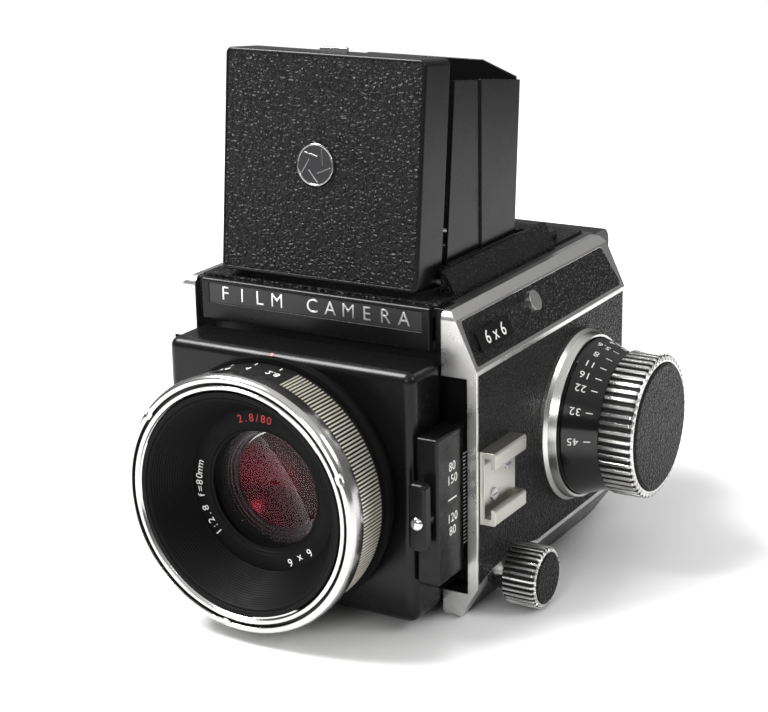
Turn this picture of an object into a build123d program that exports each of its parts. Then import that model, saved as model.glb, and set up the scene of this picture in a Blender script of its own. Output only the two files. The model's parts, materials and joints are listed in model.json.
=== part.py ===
"""Medium-format single-lens reflex camera with a bellows focusing bed and a folding waist-level hood.

Frame: +Z up, the lens looks along -Y, the focus knob is on the +X side.
The origin is the centre of the tripod socket's mouth, on the plane the camera stands on.
"""

from build123d import *
import math
import os

os.makedirs("parts", exist_ok=True)

# ---------------------------------------------------------------- driving dimensions (mm)
# body
BODY_FRONT = -48.0        # front of the side frames
BODY_REAR = 60.0          # film plane side of the body
BODY_TOP = 97.5
SIDE_X = 55.7             # half width over the side leathers
FOOT_DROP = 6.7           # side frame is this much narrower at the foot
SHOULDER_DROP = 6.9       # and this much narrower at the shoulder
SKIRT_Z = 11.2            # height where the lower slope starts
MID_Z = 80.3              # height where the upper slope starts
SHOULDER_Z = 95.0
FRAME_WALL = 2.0
FRAME_FOOT_GAP = 0.3      # side frames clear the ground by this
RECESS_DEPTH = 10.0       # front recess that the tilting standard swings into
RECESS_Z = (9.4, 77.7)    # recess opening in the side frames
STRIP_W = 3.3             # width of the side frame's upright front strip
CHAMBER_X = 34.0          # half width of the mirror chamber
BASE_T = 2.5
GATE = 56.0               # film gate, square
LENS_Z = 44.0             # height of the lens axis
SCREEN_Z = 86.0           # seat of the focusing screen
SCREEN = 62.0
SCREEN_T = 2.0
LEATHER_T = 1.0
LEATHER_GAP = 0.1

# front standard and carriage
STANDARD_X = 43.35        # half width
STANDARD_Z = (3.7, 82.3)
STANDARD_FRONT = -64.5
STANDARD_WALL = 2.5
TILT_Y = -52.0            # tilt axis, at the height of the lens axis
TILT_PIN_R = 2.0
YOKE_T = 3.0
YOKE_GAP = 0.3            # yoke to the recess floor
BRACKET_T = 7.2
BRACKET_Z = (17.5, 63.5)
BRACKET_GAP = 0.6
ROD_R = 2.5
ROD_Z = 16.0
BELLOWS = 63.0            # outer side of the bellows
BELLOWS_WALL = 5.0
BELLOWS_REST = 8.0        # its folded length
CARRIAGE_TRAVEL = 50.0
ROD_LENGTH = CARRIAGE_TRAVEL + 12.0

# lens
LENS_FRONT = -93.3
BAYONET_R = 40.0
BAYONET_DEPTH = 6.0
RING_R = 38.6             # aperture ring
RING_LENGTH = 14.5
BARREL_R = 36.0
MOUTH_R = 34.8            # throat of the front bayonet
NAME_RING_R = 25.5
NAME_RING_Y = -79.5
GLASS_R = 18.5
BLADE_COUNT = 5

# focus drive
KNOB_Y = 22.0
KNOB_Z = 46.5
FLANGE_R = 28.3
DRUM_R = (25.6, 21.6)
KNOB_R = 23.4
KNOB_FACE_X = SIDE_X + 29.7
KNOB_X = SIDE_X + 17.3     # inner face of the grip ring
SHAFT_R = 4.0
GEAR_MODULE = 1.0
GEAR_TEETH = 20
GEAR_T = 5.0
GEAR_X = 45.6             # inner face of the gears and the rack
BACKLASH = 0.16
MESH_ANGLE = 20.0         # slope of the line from the idler up to the pinion, degrees
LOCK_Y = -28.0
LOCK_Z = 10.4
LOCK_R = 9.8
LOCK_X = (SIDE_X + 2.3, SIDE_X + 14.3)
LOCK_SHAFT_R = 3.0

# winding side
DIAL_R = 19.0
DIAL_T = 4.2
CRANK_R = 12.0
CRANK_T = 3.4
CRANK_ARM = 25.0

# accessory shoe
SHOE_Y = (-46.5, -26.0)
SHOE_Z = 43.8
SHOE_SLOT = 19.0          # width between the walls
SHOE_MOUTH = 12.8         # width between the lips
SHOE_WALL = 2.0
SHOE_BASE = 1.6
SHOE_GAP = 2.2
SHOE_LIP = 1.6

# hood
LID_X = 34.9
LID_HEIGHT = 68.4
LID_DEPTH = 14.6
LID_WALL = 1.5
LID_FRONT = -45.8
LID_BOTTOM = 100.8
LID_LEAN = 6.0            # degrees
LID_PIN_DEPTH = 12.6      # hinge pin behind the lid's face
LID_PIN_RISE = 2.0
LEAF_X = 35.0
LEAF_T = 0.8
LEAF_FRONT = -27.2
LEAF_FOLD = -5.4
LEAF_REAR = 17.4
LEAF_TOP = (160.3, 158.5, 154.5)   # at the front edge, at the fold and at the rear edge
LEAF_PIN_Z = (104.0, 106.8)        # right leaf folds under the left one
LEAF_REAR_LEAN = 4.0
REAR_LEAN = 1.0
REAR_Y = 22.2
REAR_PIN_Z = 101.6
REAR_TOP = 159.6
REAR_SHOULDER = 155.0
PIN_R = 0.9
CURL_R = 1.7
FRAME_BAR_TOP = 106.0
FRAME_REAR = 34.0
MAGNIFIER = (44.0, 42.0, 2.0)
MAGNIFIER_PIN = 52.0      # height of its hinge above the lid's lower edge
MAGNIFIER_LENS_R = 16.0

# film magazine
MAG_X = 40.5
MAG_Z = (5.0, 95.0)
MAG_DEPTH = 20.5
MAG_FRAME_T = 6.0
MAG_WALL = 2.0
SLIDE_W = 60.0
SLIDE_T = 0.7

# fits
RUN = 0.05                # radial clearance of a shaft in its hole
GAP = 0.4                 # between pieces that pass each other

# ---------------------------------------------------------------- derived places
# the mirror box is just wider than the standard, which tilts in between the side frames
CORE_X = STANDARD_X + GAP
SIDE_DEPTH = SIDE_X - CORE_X
RECESS_Y = BODY_FRONT + RECESS_DEPTH
YOKE_BACK = RECESS_Y - YOKE_GAP
YOKE_FRONT = YOKE_BACK - YOKE_T
STRIP_X = SIDE_X - STRIP_W
PAN_X = CORE_X + 0.1
ROD_X = CORE_X + 3.75
PITCH_R = GEAR_MODULE * GEAR_TEETH / 2
IDLER_Y = KNOB_Y - 2 * PITCH_R * math.cos(math.radians(MESH_ANGLE))
IDLER_Z = KNOB_Z - 2 * PITCH_R * math.sin(math.radians(MESH_ANGLE))
RACK_Z = IDLER_Z - PITCH_R
TOOTH_ANGLE = 360.0 / GEAR_TEETH
HOOD_BASE = BODY_TOP + 0.1
LEAN = math.radians(LID_LEAN)


def save(builder, name):
    """Label the finished piece and write its own file."""
    builder.part.label = name
    export_step(builder.part, f"parts/{name}.step")


def box(x, y, z, mode=Mode.ADD):
    """A box between the two ends given on each axis."""
    centre = ((x[0] + x[1]) / 2, (y[0] + y[1]) / 2, (z[0] + z[1]) / 2)
    with Locations(centre):
        Box(x[1] - x[0], y[1] - y[0], z[1] - z[0], mode=mode)


def disc_x(y, z, x, radius, mode=Mode.ADD):
    """A cylinder along X between the two ends given."""
    with BuildSketch(Plane.YZ.offset(x[0])) as outline:
        with Locations((y, z)):
            Circle(radius)
    extrude(outline.sketch, amount=x[1] - x[0], mode=mode)


def disc_y(x, z, y, radius, mode=Mode.ADD):
    """A cylinder along Y between the two ends given."""
    with BuildSketch(Plane.XZ.offset(-y[0])) as outline:
        with Locations((x, z)):
            Circle(radius)
    extrude(outline.sketch, amount=-(y[1] - y[0]), mode=mode)


def disc_z(x, y, z, radius, mode=Mode.ADD):
    """A cylinder along Z between the two ends given."""
    with BuildSketch(Plane.XY.offset(z[0])) as outline:
        with Locations((x, y)):
            Circle(radius)
    extrude(outline.sketch, amount=z[1] - z[0], mode=mode)


def turned_y(points, mode=Mode.ADD):
    """Revolve an outline of (radius, y) points about the lens axis."""
    with BuildSketch(Plane.XY.offset(LENS_Z)) as outline:
        with BuildLine():
            Polyline(*points, close=True)
        make_face()
    revolve(outline.sketch, axis=Axis((0, 0, LENS_Z), (0, 1, 0)), mode=mode)


def turned_x(points, y, z, mode=Mode.ADD):
    """Revolve an outline of (x, radius) points about an axis along X at the given y and z."""
    with BuildSketch(Plane((0, y, z), x_dir=(1, 0, 0), z_dir=(0, 0, 1))) as outline:
        with BuildLine():
            Polyline(*points, close=True)
        make_face()
    revolve(outline.sketch, axis=Axis((0, y, z), (1, 0, 0)), mode=mode)


# ---------------------------------------------------------------- side frames
def frame_outline(inset=0.0):
    """Half section of the body across X and Z: upright middle, sloping skirt and shoulder."""
    foot = FRAME_FOOT_GAP + inset
    return [
        (PAN_X, foot),
        (SIDE_X - FOOT_DROP - inset, foot),
        (SIDE_X - inset, SKIRT_Z + inset * 0.4),
        (SIDE_X - inset, MID_Z - inset * 0.3),
        (SIDE_X - SHOULDER_DROP - inset, SHOULDER_Z - inset * 0.6),
        (SIDE_X - SHOULDER_DROP - 2.6 - inset, BODY_TOP - inset),
        (PAN_X, BODY_TOP - inset),
    ]


# plane of the shoulder slope: local x runs up the slope and local y towards the front
SLOPE_RUN = math.hypot(SHOULDER_DROP, SHOULDER_Z - MID_Z)
SLOPE = Plane(
    (SIDE_X, 0, MID_Z),
    x_dir=(-SHOULDER_DROP / SLOPE_RUN, 0, (SHOULDER_Z - MID_Z) / SLOPE_RUN),
    z_dir=((SHOULDER_Z - MID_Z) / SLOPE_RUN, 0, SHOULDER_DROP / SLOPE_RUN),
)
UPPER_BED = (1.2, SLOPE_RUN - 0.8, BODY_FRONT + 1.6, BODY_REAR - 3.0)
LOWER_BED_Z = (SKIRT_Z + 1.4, MID_Z - 1.4)
LOWER_BED_Y = (BODY_FRONT + 1.0, BODY_REAR - 1.4)
ARCH_RISE = 2.6           # the lower trim arches over the lock knob
ARCH_HALF = 21.0


def upper_bed(shrink=0.0):
    """The outline of the shoulder leather, on the slope."""
    x0, x1, y0, y1 = UPPER_BED
    with BuildSketch(SLOPE) as bed:
        with BuildLine():
            Polyline(
                (x0 + shrink, -y0 - shrink),
                (x1 - shrink, -y0 - 1.0 - shrink),
                (x1 - shrink, -y1 + 2.5 + shrink),
                (x0 + shrink, -y1 - 1.4 + shrink),
                close=True,
            )
        make_face()
        fillet(bed.vertices(), 1.2)
    return bed.sketch


def lower_bed(shrink=0.0):
    """The outline of the large side leather, with the arch over the lock knob."""
    y0, y1 = LOWER_BED_Y[0] + shrink, LOWER_BED_Y[1] - shrink
    z0, z1 = LOWER_BED_Z[0] + shrink, LOWER_BED_Z[1] - shrink
    with BuildSketch(Plane.YZ.offset(SIDE_X)) as bed:
        with BuildLine():
            Polyline((LOCK_Y - ARCH_HALF + 3, z0), (y0, z0), (y0, z1), (y1, z1), (y1, z0 + 8))
            Line((y1, z0 + 8), (y1 - 8, z0))
            Line((y1 - 8, z0), (LOCK_Y + ARCH_HALF, z0))
            ThreePointArc(
                (LOCK_Y + ARCH_HALF, z0),
                (LOCK_Y + 1.5, z0 + ARCH_RISE),
                (LOCK_Y - ARCH_HALF + 3, z0),
            )
        make_face()
    return bed.sketch


def side_frame():
    """Chrome side frame of the +X side, as a pan that opens towards the mirror box."""
    with BuildSketch(Plane.XZ.offset(-BODY_FRONT)) as section:
        with BuildLine():
            Polyline(*frame_outline(), close=True)
        make_face()
    extrude(section.sketch, amount=-(BODY_REAR - BODY_FRONT))
    with BuildSketch(Plane.YZ.offset(PAN_X - 1)) as profile:
        with BuildLine():
            FilletPolyline(
                (BODY_FRONT, FRAME_FOOT_GAP),
                (BODY_REAR - 11, FRAME_FOOT_GAP),
                (BODY_REAR, SKIRT_Z + 4),
                (BODY_REAR, BODY_TOP),
                (BODY_FRONT, BODY_TOP),
                radius=3.0,
                close=True,
            )
        make_face()
    extrude(profile.sketch, amount=SIDE_DEPTH + 2, mode=Mode.INTERSECT)
    # hollow behind the walls
    with BuildSketch(Plane.XZ.offset(-(RECESS_Y + FRAME_WALL))) as hollow:
        with BuildLine():
            Polyline(*[(x if x > PAN_X else PAN_X - 1, z) for x, z in frame_outline(FRAME_WALL)],
                     close=True)
        make_face()
    extrude(hollow.sketch, amount=-(BODY_REAR - RECESS_Y - 2 * FRAME_WALL), mode=Mode.SUBTRACT)
    # open recess beside the standard
    box((PAN_X - 1, STRIP_X), (BODY_FRONT - 1, RECESS_Y), RECESS_Z, mode=Mode.SUBTRACT)
    # beds for the leathers
    extrude(upper_bed(), amount=-LEATHER_T, mode=Mode.SUBTRACT)
    extrude(lower_bed(), amount=-LEATHER_T, mode=Mode.SUBTRACT)
    # bore for the guide rod
    disc_y(ROD_X, ROD_Z, (RECESS_Y - 1, RECESS_Y + FRAME_WALL + 1),
           ROD_R + RUN, mode=Mode.SUBTRACT)


with BuildPart() as side_frame_right:
    side_frame()
    disc_x(KNOB_Y, KNOB_Z, (SIDE_X - FRAME_WALL - 2, SIDE_X + 1), SHAFT_R + RUN, mode=Mode.SUBTRACT)
    # boss and hole for the lock knob
    disc_x(LOCK_Y, LOCK_Z, (ROD_X + ROD_R + GAP, LOCK_X[0] - GAP), LOCK_SHAFT_R + 3)
    disc_x(LOCK_Y, LOCK_Z, (ROD_X + ROD_R, LOCK_X[0]), LOCK_SHAFT_R + RUN, mode=Mode.SUBTRACT)
    # slot that the rack runs through
    box((GEAR_X - GAP, GEAR_X + GEAR_T + GAP), (RECESS_Y - 1, RECESS_Y + FRAME_WALL + 1),
        (RACK_Z - 6, RACK_Z + 2), mode=Mode.SUBTRACT)
save(side_frame_right, "side_frame_right")

CRANK_Y = KNOB_Y
CRANK_Z = KNOB_Z
RELEASE_X = CORE_X + 3.65
RELEASE_Z = 5.4
RELEASE_R = 3.0

with BuildPart() as left_as_right:
    side_frame()
    disc_x(CRANK_Y, CRANK_Z, (SIDE_X - FRAME_WALL - 2, SIDE_X + 1), SHAFT_R + RUN, mode=Mode.SUBTRACT)
    disc_y(RELEASE_X, RELEASE_Z, (BODY_FRONT - 1, BODY_FRONT + 12), RELEASE_R + 0.1,
           mode=Mode.SUBTRACT)
with BuildPart() as side_frame_left:
    add(mirror(left_as_right.part, about=Plane.YZ))
save(side_frame_left, "side_frame_left")


def side_leather():
    """The two leather panels of one side, fitted into the frame's beds."""
    extrude(upper_bed(LEATHER_GAP), amount=-(LEATHER_T - 0.05))
    extrude(lower_bed(LEATHER_GAP), amount=-(LEATHER_T - 0.05))


with BuildPart() as left_leather_as_right:
    side_leather()
    disc_x(CRANK_Y, CRANK_Z, (SIDE_X - 2, SIDE_X + 1), DIAL_R - 4, mode=Mode.SUBTRACT)
with BuildPart() as side_leathers:
    side_leather()
    disc_x(KNOB_Y, KNOB_Z, (SIDE_X - 2, SIDE_X + 1), FLANGE_R - 2, mode=Mode.SUBTRACT)
    disc_x(LOCK_Y, LOCK_Z, (SIDE_X - 2, SIDE_X + 1), LOCK_SHAFT_R + 3.1, mode=Mode.SUBTRACT)
    add(mirror(left_leather_as_right.part, about=Plane.YZ))
save(side_leathers, "side_leathers")

# ---------------------------------------------------------------- mirror box
FASCIA_Z = (84.6, 97.9)
FASCIA_X = 40.4
FASCIA_FRONT = -48.8
FASCIA_T = 2.8
WELL = (-31.0, 31.0)      # top opening over the focusing screen
MIRROR_PIN_Y = 38.0
MIRROR_PIN_Z = 79.5
MIRROR_PIN_R = 1.5
REAR_WALL = 12.0
TRIPOD_R = 4.76           # three-eighths inch thread
TRIPOD_DEPTH = 6.5
BUSH_R = 9.0
BELLOWS_BACK = YOKE_BACK + BELLOWS_REST + 0.2

with BuildPart() as bellows_frame:
    box((-CORE_X, CORE_X), (RECESS_Y, BELLOWS_BACK), (BASE_T, BODY_TOP))
    box((-BELLOWS / 2 - GAP, BELLOWS / 2 + GAP), (RECESS_Y - 1, BELLOWS_BACK + 1),
        (LENS_Z - BELLOWS / 2 - GAP, LENS_Z + BELLOWS / 2 + GAP), mode=Mode.SUBTRACT)
    box((-SCREEN / 2 - 0.1, SCREEN / 2 + 0.1), (WELL[0] - 0.1, WELL[1] + 0.1),
        (SCREEN_Z, BODY_TOP + 1), mode=Mode.SUBTRACT)
save(bellows_frame, "bellows_frame")

with BuildPart() as mirror_box:
    box((-CORE_X, CORE_X), (BELLOWS_BACK, BODY_REAR), (BASE_T, BODY_TOP))
    # mirror chamber, film gate and top well
    box((-CHAMBER_X, CHAMBER_X), (BELLOWS_BACK - 1, BODY_REAR - REAR_WALL), (10, SCREEN_Z - 2),
        mode=Mode.SUBTRACT)
    box((-GATE / 2, GATE / 2), (BODY_REAR - REAR_WALL - 1, BODY_REAR + 1),
        (LENS_Z - GATE / 2, LENS_Z + GATE / 2), mode=Mode.SUBTRACT)
    box((-SCREEN / 2 + 2, SCREEN / 2 - 2), (BELLOWS_BACK - 1, WELL[1] - 2), (SCREEN_Z - 3, SCREEN_Z + 1),
        mode=Mode.SUBTRACT)
    box((-SCREEN / 2 - 0.1, SCREEN / 2 + 0.1), (WELL[0] - 0.1, WELL[1] + 0.1),
        (SCREEN_Z, BODY_TOP + 1), mode=Mode.SUBTRACT)
    # bores for the mirror shaft and the tripod bush
    disc_x(MIRROR_PIN_Y, MIRROR_PIN_Z, (-CHAMBER_X - 5, CHAMBER_X + 5), MIRROR_PIN_R + RUN,
           mode=Mode.SUBTRACT)
    disc_z(0, 0, (0, TRIPOD_DEPTH + 1), BUSH_R, mode=Mode.SUBTRACT)
    # bores for the focus shaft, the idler axle and the crank shaft
    disc_x(KNOB_Y, KNOB_Z, (CORE_X - 5, CORE_X + 1), SHAFT_R + RUN, mode=Mode.SUBTRACT)
    disc_x(IDLER_Y, IDLER_Z, (CORE_X - 5, CORE_X + 1), SHAFT_R / 2 + RUN, mode=Mode.SUBTRACT)
    disc_x(CRANK_Y, CRANK_Z, (-CORE_X - 1, -CORE_X + 5), SHAFT_R + RUN, mode=Mode.SUBTRACT)
save(mirror_box, "mirror_box")

with BuildPart() as base_plate:
    box((-CORE_X, CORE_X), (RECESS_Y, BODY_REAR - 11), (0, BASE_T))
    fillet(base_plate.edges().filter_by(Axis.Z), 3)
    disc_z(0, 0, (-1, BASE_T + 1), BUSH_R, mode=Mode.SUBTRACT)
save(base_plate, "base_plate")

with BuildPart() as tripod_bush:
    disc_z(0, 0, (0, TRIPOD_DEPTH + 1), BUSH_R)
    disc_z(0, 0, (-1, TRIPOD_DEPTH), TRIPOD_R, mode=Mode.SUBTRACT)
save(tripod_bush, "tripod_bush")

with BuildPart() as focusing_screen:
    box((-SCREEN / 2, SCREEN / 2), WELL, (SCREEN_Z, SCREEN_Z + SCREEN_T))
save(focusing_screen, "focusing_screen")

with BuildPart() as nameplate_housing:
    box((-FASCIA_X, FASCIA_X), (FASCIA_FRONT, FASCIA_FRONT + FASCIA_T), FASCIA_Z)
    fillet(nameplate_housing.edges().filter_by(Axis.X).group_by(Axis.Y)[0], 0.8)
    # hollow block that ties the fascia to the body
    box((-CORE_X, CORE_X), (FASCIA_FRONT + FASCIA_T, RECESS_Y), (FASCIA_Z[0], BODY_TOP))
    box((-CORE_X + FASCIA_T, CORE_X - FASCIA_T), (FASCIA_FRONT + FASCIA_T, RECESS_Y + 1),
        (FASCIA_Z[0] + FASCIA_T, BODY_TOP - FASCIA_T), mode=Mode.SUBTRACT)
    # bed for the nameplate
    box((-FASCIA_X + 2.4, FASCIA_X - 2.4), (FASCIA_FRONT - 1, FASCIA_FRONT + 0.6),
        (FASCIA_Z[1] - 7.6, FASCIA_Z[1] - 1.2), mode=Mode.SUBTRACT)
save(nameplate_housing, "nameplate_housing")

with BuildPart() as nameplate:
    box((-FASCIA_X + 2.5, FASCIA_X - 2.5), (FASCIA_FRONT + 0.1, FASCIA_FRONT + 0.6),
        (FASCIA_Z[1] - 7.5, FASCIA_Z[1] - 1.3))
save(nameplate, "nameplate")

TOP_LEATHER_Y = (FRAME_REAR + 1.0, BODY_REAR - 1.5)
with BuildPart() as top_leather:
    box((-CORE_X + 2.8, CORE_X - 2.8), TOP_LEATHER_Y, (BODY_TOP, BODY_TOP + LEATHER_T))
    fillet(top_leather.edges().filter_by(Axis.Z), 2)
save(top_leather, "top_leather")

CURTAIN_T = 0.4
with BuildPart() as shutter_curtains:
    for row in (0, 1):
        y = BODY_REAR - REAR_WALL - 2.0 - row * 1.2
        box((-GATE / 2 - 3, GATE / 2 + 3), (y, y + CURTAIN_T), (LENS_Z - GATE / 2 - 2, LENS_Z + GATE / 2 + 2))
save(shutter_curtains, "shutter_curtains")

# ---------------------------------------------------------------- reflex mirror
MIRROR_L = 62.0
MIRROR_W = 58.0
MIRROR_T = 1.6
HOLDER_T = 1.8
HALF = math.sqrt(0.5)
MIRROR_PLANE = Plane((0, MIRROR_PIN_Y, MIRROR_PIN_Z), x_dir=(1, 0, 0), z_dir=(0, -HALF, HALF))

with BuildPart() as mirror_holder:
    with BuildSketch(MIRROR_PLANE.offset(-HOLDER_T / 2)):
        with Locations((0, -MIRROR_L / 2)):
            Rectangle(MIRROR_W, MIRROR_L)
    extrude(amount=HOLDER_T)
    disc_x(MIRROR_PIN_Y, MIRROR_PIN_Z, (-CHAMBER_X - 4, CHAMBER_X + 4), MIRROR_PIN_R)
save(mirror_holder, "mirror_holder")

with BuildPart() as mirror_glass:
    with BuildSketch(MIRROR_PLANE.offset(HOLDER_T / 2)):
        with Locations((0, -MIRROR_L / 2 - 1)):
            Rectangle(MIRROR_W - 2, MIRROR_L - 6)
    extrude(amount=MIRROR_T)
save(mirror_glass, "mirror_glass")


# ---------------------------------------------------------------- focus drive
def involute(pressure):
    """The involute of an angle in radians."""
    return math.tan(pressure) - pressure


def gear_outline(first_tooth):
    """Spur gear outline about the origin, with a tooth centred at the angle given in degrees."""
    base = PITCH_R * math.cos(math.radians(20))
    tip = PITCH_R + GEAR_MODULE
    root = PITCH_R - 1.25 * GEAR_MODULE
    half = math.pi / (2 * GEAR_TEETH) - BACKLASH / (2 * PITCH_R) + involute(math.radians(20))
    radii = [base + (tip - base) * i / 5 for i in range(6)]
    flank = [(r, half - involute(math.acos(min(1.0, base / r)))) for r in radii]
    flank = [(root, flank[0][1])] + flank
    points = []
    for tooth in range(GEAR_TEETH):
        centre = math.radians(first_tooth) + 2 * math.pi * tooth / GEAR_TEETH
        for r, a in flank:
            points.append((r * math.cos(centre - a), r * math.sin(centre - a)))
        for r, a in reversed(flank):
            points.append((r * math.cos(centre + a), r * math.sin(centre + a)))
    return points


def gear(y, z, first_tooth):
    """One spur gear with its axis along X."""
    with BuildSketch(Plane((GEAR_X, y, z), x_dir=(0, 1, 0), z_dir=(1, 0, 0))) as teeth:
        with BuildLine():
            Polyline(*gear_outline(first_tooth), close=True)
        make_face()
    extrude(teeth.sketch, amount=GEAR_T)


with BuildPart() as focus_shaft:
    gear(KNOB_Y, KNOB_Z, MESH_ANGLE + 180 - (-90 - MESH_ANGLE) % TOOTH_ANGLE + TOOTH_ANGLE / 2)
    disc_x(KNOB_Y, KNOB_Z, (CORE_X - 4.5, KNOB_X + 6), SHAFT_R)
save(focus_shaft, "focus_shaft")

with BuildPart() as idler_gear:
    gear(IDLER_Y, IDLER_Z, -90)
    disc_x(IDLER_Y, IDLER_Z, (CORE_X - 4.5, GEAR_X + GEAR_T + 1), SHAFT_R / 2)
save(idler_gear, "idler_gear")

PITCH = math.pi * GEAR_MODULE
RACK_REAR = BODY_REAR - FRAME_WALL - 0.6
with BuildPart() as focus_rack:
    flank = math.tan(math.radians(20)) * GEAR_MODULE
    half_tooth = PITCH / 4 - BACKLASH / 2
    count = int((RACK_REAR - 2 - (IDLER_Y - PITCH_R)) / PITCH)
    teeth = []
    start = IDLER_Y + PITCH / 2 - 3 * PITCH
    for n in range(count):
        y = start + n * PITCH
        teeth += [
            (y - half_tooth - 1.25 * flank, RACK_Z - 1.25 * GEAR_MODULE),
            (y - half_tooth + flank, RACK_Z + GEAR_MODULE),
            (y + half_tooth - flank, RACK_Z + GEAR_MODULE),
            (y + half_tooth + 1.25 * flank, RACK_Z - 1.25 * GEAR_MODULE),
        ]
    with BuildSketch(Plane.YZ.offset(GEAR_X)):
        with BuildLine():
            Polyline((YOKE_BACK, RACK_Z - 5), (YOKE_BACK, RACK_Z - 1.25 * GEAR_MODULE), *teeth,
                     (RACK_REAR, RACK_Z - 1.25 * GEAR_MODULE), (RACK_REAR, RACK_Z - 5), close=True)
        make_face()
    extrude(amount=GEAR_T)
save(focus_rack, "focus_rack")

FLANGE_OUT = SIDE_X + 5.3
with BuildPart() as focus_flange:
    turned_x([
        (SIDE_X, FLANGE_R), (SIDE_X + 1.5, FLANGE_R), (SIDE_X + 2.6, FLANGE_R - 1.0),
        (FLANGE_OUT, FLANGE_R - 1.6), (FLANGE_OUT, DRUM_R[0] + 0.3), (SIDE_X + 1.5, DRUM_R[0] + 0.3),
        (SIDE_X + 1.5, SHAFT_R + 6), (SIDE_X, SHAFT_R + 6),
    ], KNOB_Y, KNOB_Z)
save(focus_flange, "focus_flange")

with BuildPart() as focus_drum:
    turned_x([
        (SIDE_X + 2.0, DRUM_R[0]), (SIDE_X + 6.5, DRUM_R[0]), (KNOB_X, DRUM_R[1]),
        (KNOB_X, SHAFT_R), (KNOB_X - 3, SHAFT_R), (KNOB_X - 3, DRUM_R[1] - 4),
        (SIDE_X + 2.0, DRUM_R[0] - 4),
    ], KNOB_Y, KNOB_Z)
save(focus_drum, "focus_drum")

with BuildPart() as knob_grip:
    turned_x([
        (KNOB_X, SHAFT_R), (KNOB_X, KNOB_R - 1.0), (KNOB_X + 1.0, KNOB_R),
        (KNOB_FACE_X - 3.2, KNOB_R), (KNOB_FACE_X - 0.6, KNOB_R - 1.6), (KNOB_FACE_X - 0.6, KNOB_R - 2.6),
        (KNOB_FACE_X - 1.2, KNOB_R - 2.6), (KNOB_FACE_X - 1.2, 0), (KNOB_X + 6, 0),
        (KNOB_X + 6, SHAFT_R),
    ], KNOB_Y, KNOB_Z)
save(knob_grip, "knob_grip")

with BuildPart() as knob_leather:
    turned_x([
        (KNOB_FACE_X - 1.2, 0), (KNOB_FACE_X - 1.2, KNOB_R - 2.7), (KNOB_FACE_X - 0.5, KNOB_R - 2.7),
        (KNOB_FACE_X, KNOB_R - 3.4), (KNOB_FACE_X, 0),
    ], KNOB_Y, KNOB_Z)
save(knob_leather, "knob_leather")

LOCK_END_X = ROD_X + ROD_R + 0.3
with BuildPart() as lock_knob:
    turned_x([
        (LOCK_END_X, 0), (LOCK_END_X, LOCK_SHAFT_R), (LOCK_X[0], LOCK_SHAFT_R),
        (LOCK_X[0], LOCK_R - 1.5),
        (LOCK_X[0] + 1, LOCK_R), (LOCK_X[1] - 1.4, LOCK_R), (LOCK_X[1] - 0.4, LOCK_R - 1.0),
        (LOCK_X[1] - 0.4, LOCK_R - 1.8), (LOCK_X[1] - 1.0, LOCK_R - 1.8), (LOCK_X[1] - 1.0, 0),
    ], LOCK_Y, LOCK_Z)
save(lock_knob, "lock_knob")

with BuildPart() as lock_knob_leather:
    turned_x([
        (LOCK_X[1] - 1.0, 0), (LOCK_X[1] - 1.0, LOCK_R - 1.9), (LOCK_X[1] - 0.4, LOCK_R - 1.9),
        (LOCK_X[1], LOCK_R - 2.4), (LOCK_X[1], 0),
    ], LOCK_Y, LOCK_Z)
save(lock_knob_leather, "lock_knob_leather")

# ---------------------------------------------------------------- carriage
BRACKET_X = (STANDARD_X + BRACKET_GAP, STANDARD_X + BRACKET_GAP + BRACKET_T)
BRACKET_FRONT = STANDARD_FRONT + 0.5
BRACKET_BACK = BODY_FRONT - 0.4
YOKE_Z = (RECESS_Z[0] + 0.8, RECESS_Z[1] - 0.8)
ARM_Z = (LENS_Z - 19.4, LENS_Z + 19.4)
OPENING = BELLOWS - 3
TILT_PIN_END = STANDARD_X - STANDARD_WALL - 1

with BuildPart() as carriage_yoke:
    box((-BRACKET_X[1], BRACKET_X[1]), (YOKE_FRONT, YOKE_BACK), YOKE_Z)
    box((-OPENING / 2, OPENING / 2), (YOKE_FRONT - 1, YOKE_BACK + 1),
        (LENS_Z - OPENING / 2, LENS_Z + OPENING / 2), mode=Mode.SUBTRACT)
    for side in (-1, 1):
        arm = sorted((side * (BRACKET_X[0] + 0.6), side * BRACKET_X[1]))
        box(arm, (BRACKET_BACK, YOKE_FRONT), ARM_Z)
    # the left arm carries the tilt pin itself
    box((-BRACKET_X[1], -BRACKET_X[0]), (TILT_Y - 6, BRACKET_BACK), (LENS_Z - 9, LENS_Z + 9))
    disc_x(TILT_Y, LENS_Z, (-BRACKET_X[0] - 1, -TILT_PIN_END), TILT_PIN_R)
save(carriage_yoke, "carriage_yoke")

with BuildPart() as scale_bracket:
    box(BRACKET_X, (BRACKET_FRONT, BRACKET_BACK), BRACKET_Z)
    fillet(scale_bracket.edges().filter_by(Axis.Z).group_by(Axis.Y)[0], 0.8)
    fillet(scale_bracket.edges().filter_by(Axis.Y).group_by(Axis.X)[-1], 0.8)
    disc_x(TILT_Y, LENS_Z, (TILT_PIN_END, BRACKET_X[0] + 1), TILT_PIN_R)
    disc_y((BRACKET_X[0] + BRACKET_X[1]) / 2, LENS_Z - 4.5, (BRACKET_FRONT - 1, BRACKET_FRONT + 6),
           1.5 + RUN, mode=Mode.SUBTRACT)
save(scale_bracket, "scale_bracket")

with BuildPart() as guide_rods:
    for side in (-1, 1):
        disc_y(side * ROD_X, ROD_Z, (YOKE_BACK, YOKE_BACK + ROD_LENGTH), ROD_R)
save(guide_rods, "guide_rods")

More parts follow.
